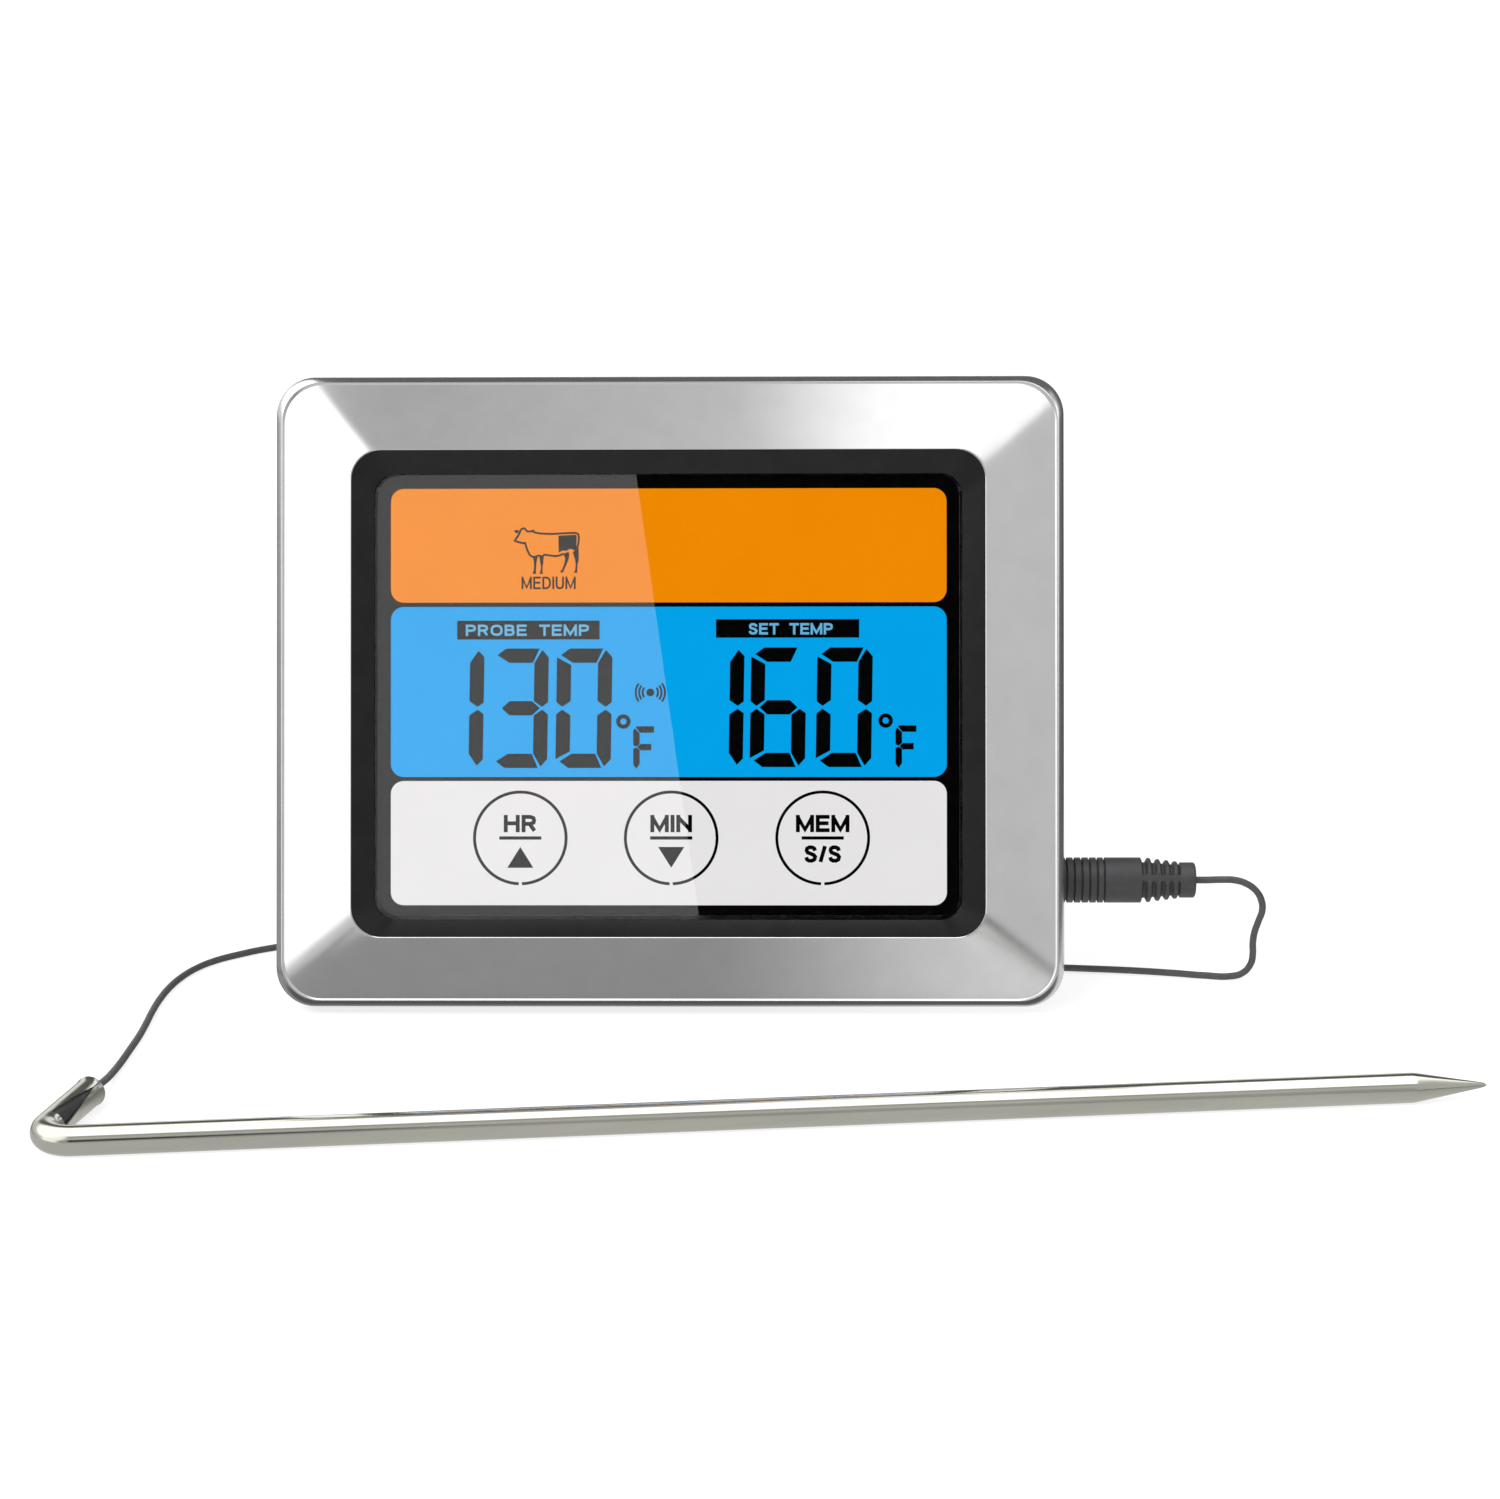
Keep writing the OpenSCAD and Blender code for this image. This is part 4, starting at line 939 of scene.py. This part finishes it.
def make_floor():
    """Plain pale floor. Polished metal sees a painted emission in its place, a painted reflection: darker than the
    floor, lighter to the right just in front of the unit, and dark in a strip under the rim and far to the right
    """
    mat, n = new_material("floor")
    white = n.add("ShaderNodeBsdfDiffuse", {"Color": grey(0.42)})
    seen = n.add("ShaderNodeAddShader", {0: white, 1: emission(n, 0.74)})
    place = n.add("ShaderNodeTexCoord").outputs["Object"]
    split = n.add("ShaderNodeSeparateXYZ", {0: place})
    x, y = split.outputs["X"], split.outputs["Y"]
    # Painted reflection: the tone that polished faces see here, lighter to the right in front of the unit
    front = n.spread(x, -0.012, 0.034, 0.3, 0.72, smooth=True)
    tone = n.paint(0.62, front, n.spread(y, -0.034, -0.022, smooth=True))
    # Painted reflection shade: a dark strip under the rim, and dark far to the right
    painted_dark_under_rim = n.math("MULTIPLY", n.spread(y, 0.0012, 0.0024), n.spread(y, 0.0058, 0.005))
    tone = n.paint(tone, 0.1, n.math("MULTIPLY", painted_dark_under_rim, n.spread(x, -0.072, -0.066)))
    tone = n.paint(tone, 0.1, n.spread(x, 0.07, 0.12, smooth=True))
    # Glossy rays get the painted reflection tone instead of the lit floor
    path = n.add("ShaderNodeLightPath")
    both = {0: path.outputs["Is Glossy Ray"], 1: seen, 2: emission(n, tone)}
    n.add("ShaderNodeOutputMaterial", {"Surface": n.add("ShaderNodeMixShader", both)})
    floor = staged("floor", ((-6.0, -6.0), (6.0, 6.0), 0.0), mat)
    floor.location.z = -0.00002


def make_world():
    """White backdrop; what the metal mirrors is a ring of soft panels round the set"""
    world = bpy.data.worlds.new("studio")
    bpy.context.scene.world = world
    world.use_nodes = True
    world.cycles.sampling_method = "NONE"
    n = Nodes(world.node_tree)
    way = n.add("ShaderNodeTexCoord").outputs["Generated"]
    split = n.add("ShaderNodeSeparateXYZ", {0: way})
    back = n.math("MULTIPLY", split.outputs["Y"], -1.0)
    pitch = n.math("ARCTAN2", split.outputs["Z"], back)
    # Brightness over the arch from the front horizon (0) over the top to the back horizon (1)
    levels = [(0.0, 0.38), (0.06, 0.34), (0.10, 0.36), (0.14, 0.5), (0.21, 0.48), (0.245, 0.3),
              (0.27, 0.3), (0.3, 1.7), (0.66, 1.7), (0.71, 0.1), (0.87, 0.1), (0.9, 0.8), (1.0, 0.7)]
    arch = n.add("ShaderNodeValToRGB", {"Fac": n.math("DIVIDE", pitch, math.pi)})
    for at, level in levels[1:-1]:
        arch.color_ramp.elements.new(at)
    for stop, (at, level) in zip(arch.color_ramp.elements, levels):
        stop.color = grey(level)

    def lobe(azimuth, elevation, inner, outer):
        """1 within inner degrees of a direction and 0 beyond outer"""
        centre = tuple(direction(azimuth, elevation))
        dot = n.add("ShaderNodeVectorMath", {0: way, 1: centre}, operation="DOT_PRODUCT")
        edges = (math.cos(math.radians(outer)), math.cos(math.radians(inner)))
        return n.spread(dot.outputs["Value"], *edges, smooth=True)

    total = n.math("MULTIPLY", arch.outputs["Color"], 1.3)
    total = n.paint(total, 0.72, n.spread(split.outputs["X"], -0.45, -0.6, smooth=True))
    total = n.paint(total, 0.6, n.spread(split.outputs["X"], 0.42, 0.6, smooth=True))
    for level, shape in ((1.45, (-60, 10, 16, 26)), (1.45, (-52, 38, 22, 32)),
                         (1.8, (-95, 52, 30, 44)), (1.5, (88, 15, 10, 18)),
                         (0.12, (135, 10, 24, 38)), (0.01, (-2.2, 15.5, 7, 9))):
        total = n.paint(total, level, lobe(*shape))
    even, panels, white = (n.add("ShaderNodeBackground", {"Color": grey(1), "Strength": strength})
                           for strength in (0.75, total, 1.0))
    path = n.add("ShaderNodeLightPath")
    lit = n.add("ShaderNodeMixShader", {0: path.outputs["Is Glossy Ray"], 1: even, 2: panels})
    shown = n.add("ShaderNodeMixShader", {0: path.outputs["Is Camera Ray"], 1: lit, 2: white})
    n.add("ShaderNodeOutputWorld", {"Surface": shown})


def make_flag():
    """Grey card over the unit that only polished faces mirror, lighter to the right"""
    mat, n = new_material("flag")
    place = n.add("ShaderNodeTexCoord").outputs["Object"]
    split = n.add("ShaderNodeSeparateXYZ", {0: place})
    x, y = split.outputs["X"], split.outputs["Y"]
    tone = n.spread(x, -0.05, -0.004, 0.46, 0.6)
    tone = n.paint(tone, 1.27, n.spread(x, -0.008, 0.018, smooth=True))
    tone = n.paint(tone, 0.13, n.spread(y, 0.02, 0.026))
    gone = n.add("ShaderNodeBsdfTransparent")
    fade = n.spread(x, -0.0675, -0.0605, smooth=True)
    soft = n.add("ShaderNodeMixShader", {0: fade, 1: gone, 2: emission(n, tone)})
    n.add("ShaderNodeOutputMaterial", {"Surface": soft})
    flag = staged("flag", ((-0.072, -0.014), (0.06, 0.075), 0.1), mat)
    for ray in ("camera", "diffuse", "transmission", "volume_scatter", "shadow"):
        setattr(flag, f"visible_{ray}", False)


def area_lamp(name, wide, high, power, place):
    data = bpy.data.lights.new(name, "AREA")
    data.shape = "RECTANGLE"
    data.size, data.size_y = wide, high
    data.energy = power
    lamp = add_object(name, data)
    lamp.matrix_world = place
    return lamp


def make_key():
    """A broad lamp at the upper left that no polished face mirrors"""
    place = Vector((-0.6, -0.7, 0.9))
    aim = (Vector((0, 0, 0.02)) - place).to_track_quat("-Z", "Y")
    key = area_lamp("key", 0.7, 0.7, 9.0, Matrix.Translation(place) @ aim.to_matrix().to_4x4())
    key.visible_glossy = False


def make_window_panel():
    """The lamp panel whose mirror image covers the left of the window glass"""
    # The image of the panel's edge runs down the glass between these two points
    top, foot = (UNIT @ Vector(p) for p in ((-4.1, 1.2, 68.0), (3.9, 1.2, 11.65)))
    eye, normal = camera.location, -INTO
    above = (eye - top).dot(normal)
    mirrored, height = eye - 2 * above * normal, 1.04 * above

    def on_panel(p):
        """Where the ray that leaves the eye and mirrors at p meets the panel's plane"""
        ray = (p - mirrored).normalized()
        return p + ray * (height / ray.dot(normal))

    a, b = on_panel(top), on_panel(foot)
    edge = (a - b).normalized()
    left = normal.cross(edge).normalized()
    if left.x > 0:
        left = -left
    wide, high = 0.13, (a - b).length + 0.06
    across = left if left.cross(edge).dot(normal) > 0 else -left
    place = Matrix.Translation((a + b) / 2 + left * wide / 2)
    power = PANEL_RADIANCE * math.pi * wide * high
    turned_to_glass = place @ axes(across, edge, across.cross(edge))
    panel = area_lamp("window_panel", wide, high, power, turned_to_glass)
    panel.visible_diffuse = False
    lit_only = bpy.data.collections.new("faces_window_panel")
    lit_only.objects.link(frame["nodes"]["window_glass"])
    panel.light_linking.receiver_collection = lit_only


make_floor()
make_world()
make_flag()
make_frame()
make_ring()
make_key()
make_window_panel()
make_display()
make_stem()
make_handle()
make_cable(make_plug())
finish_nodes()
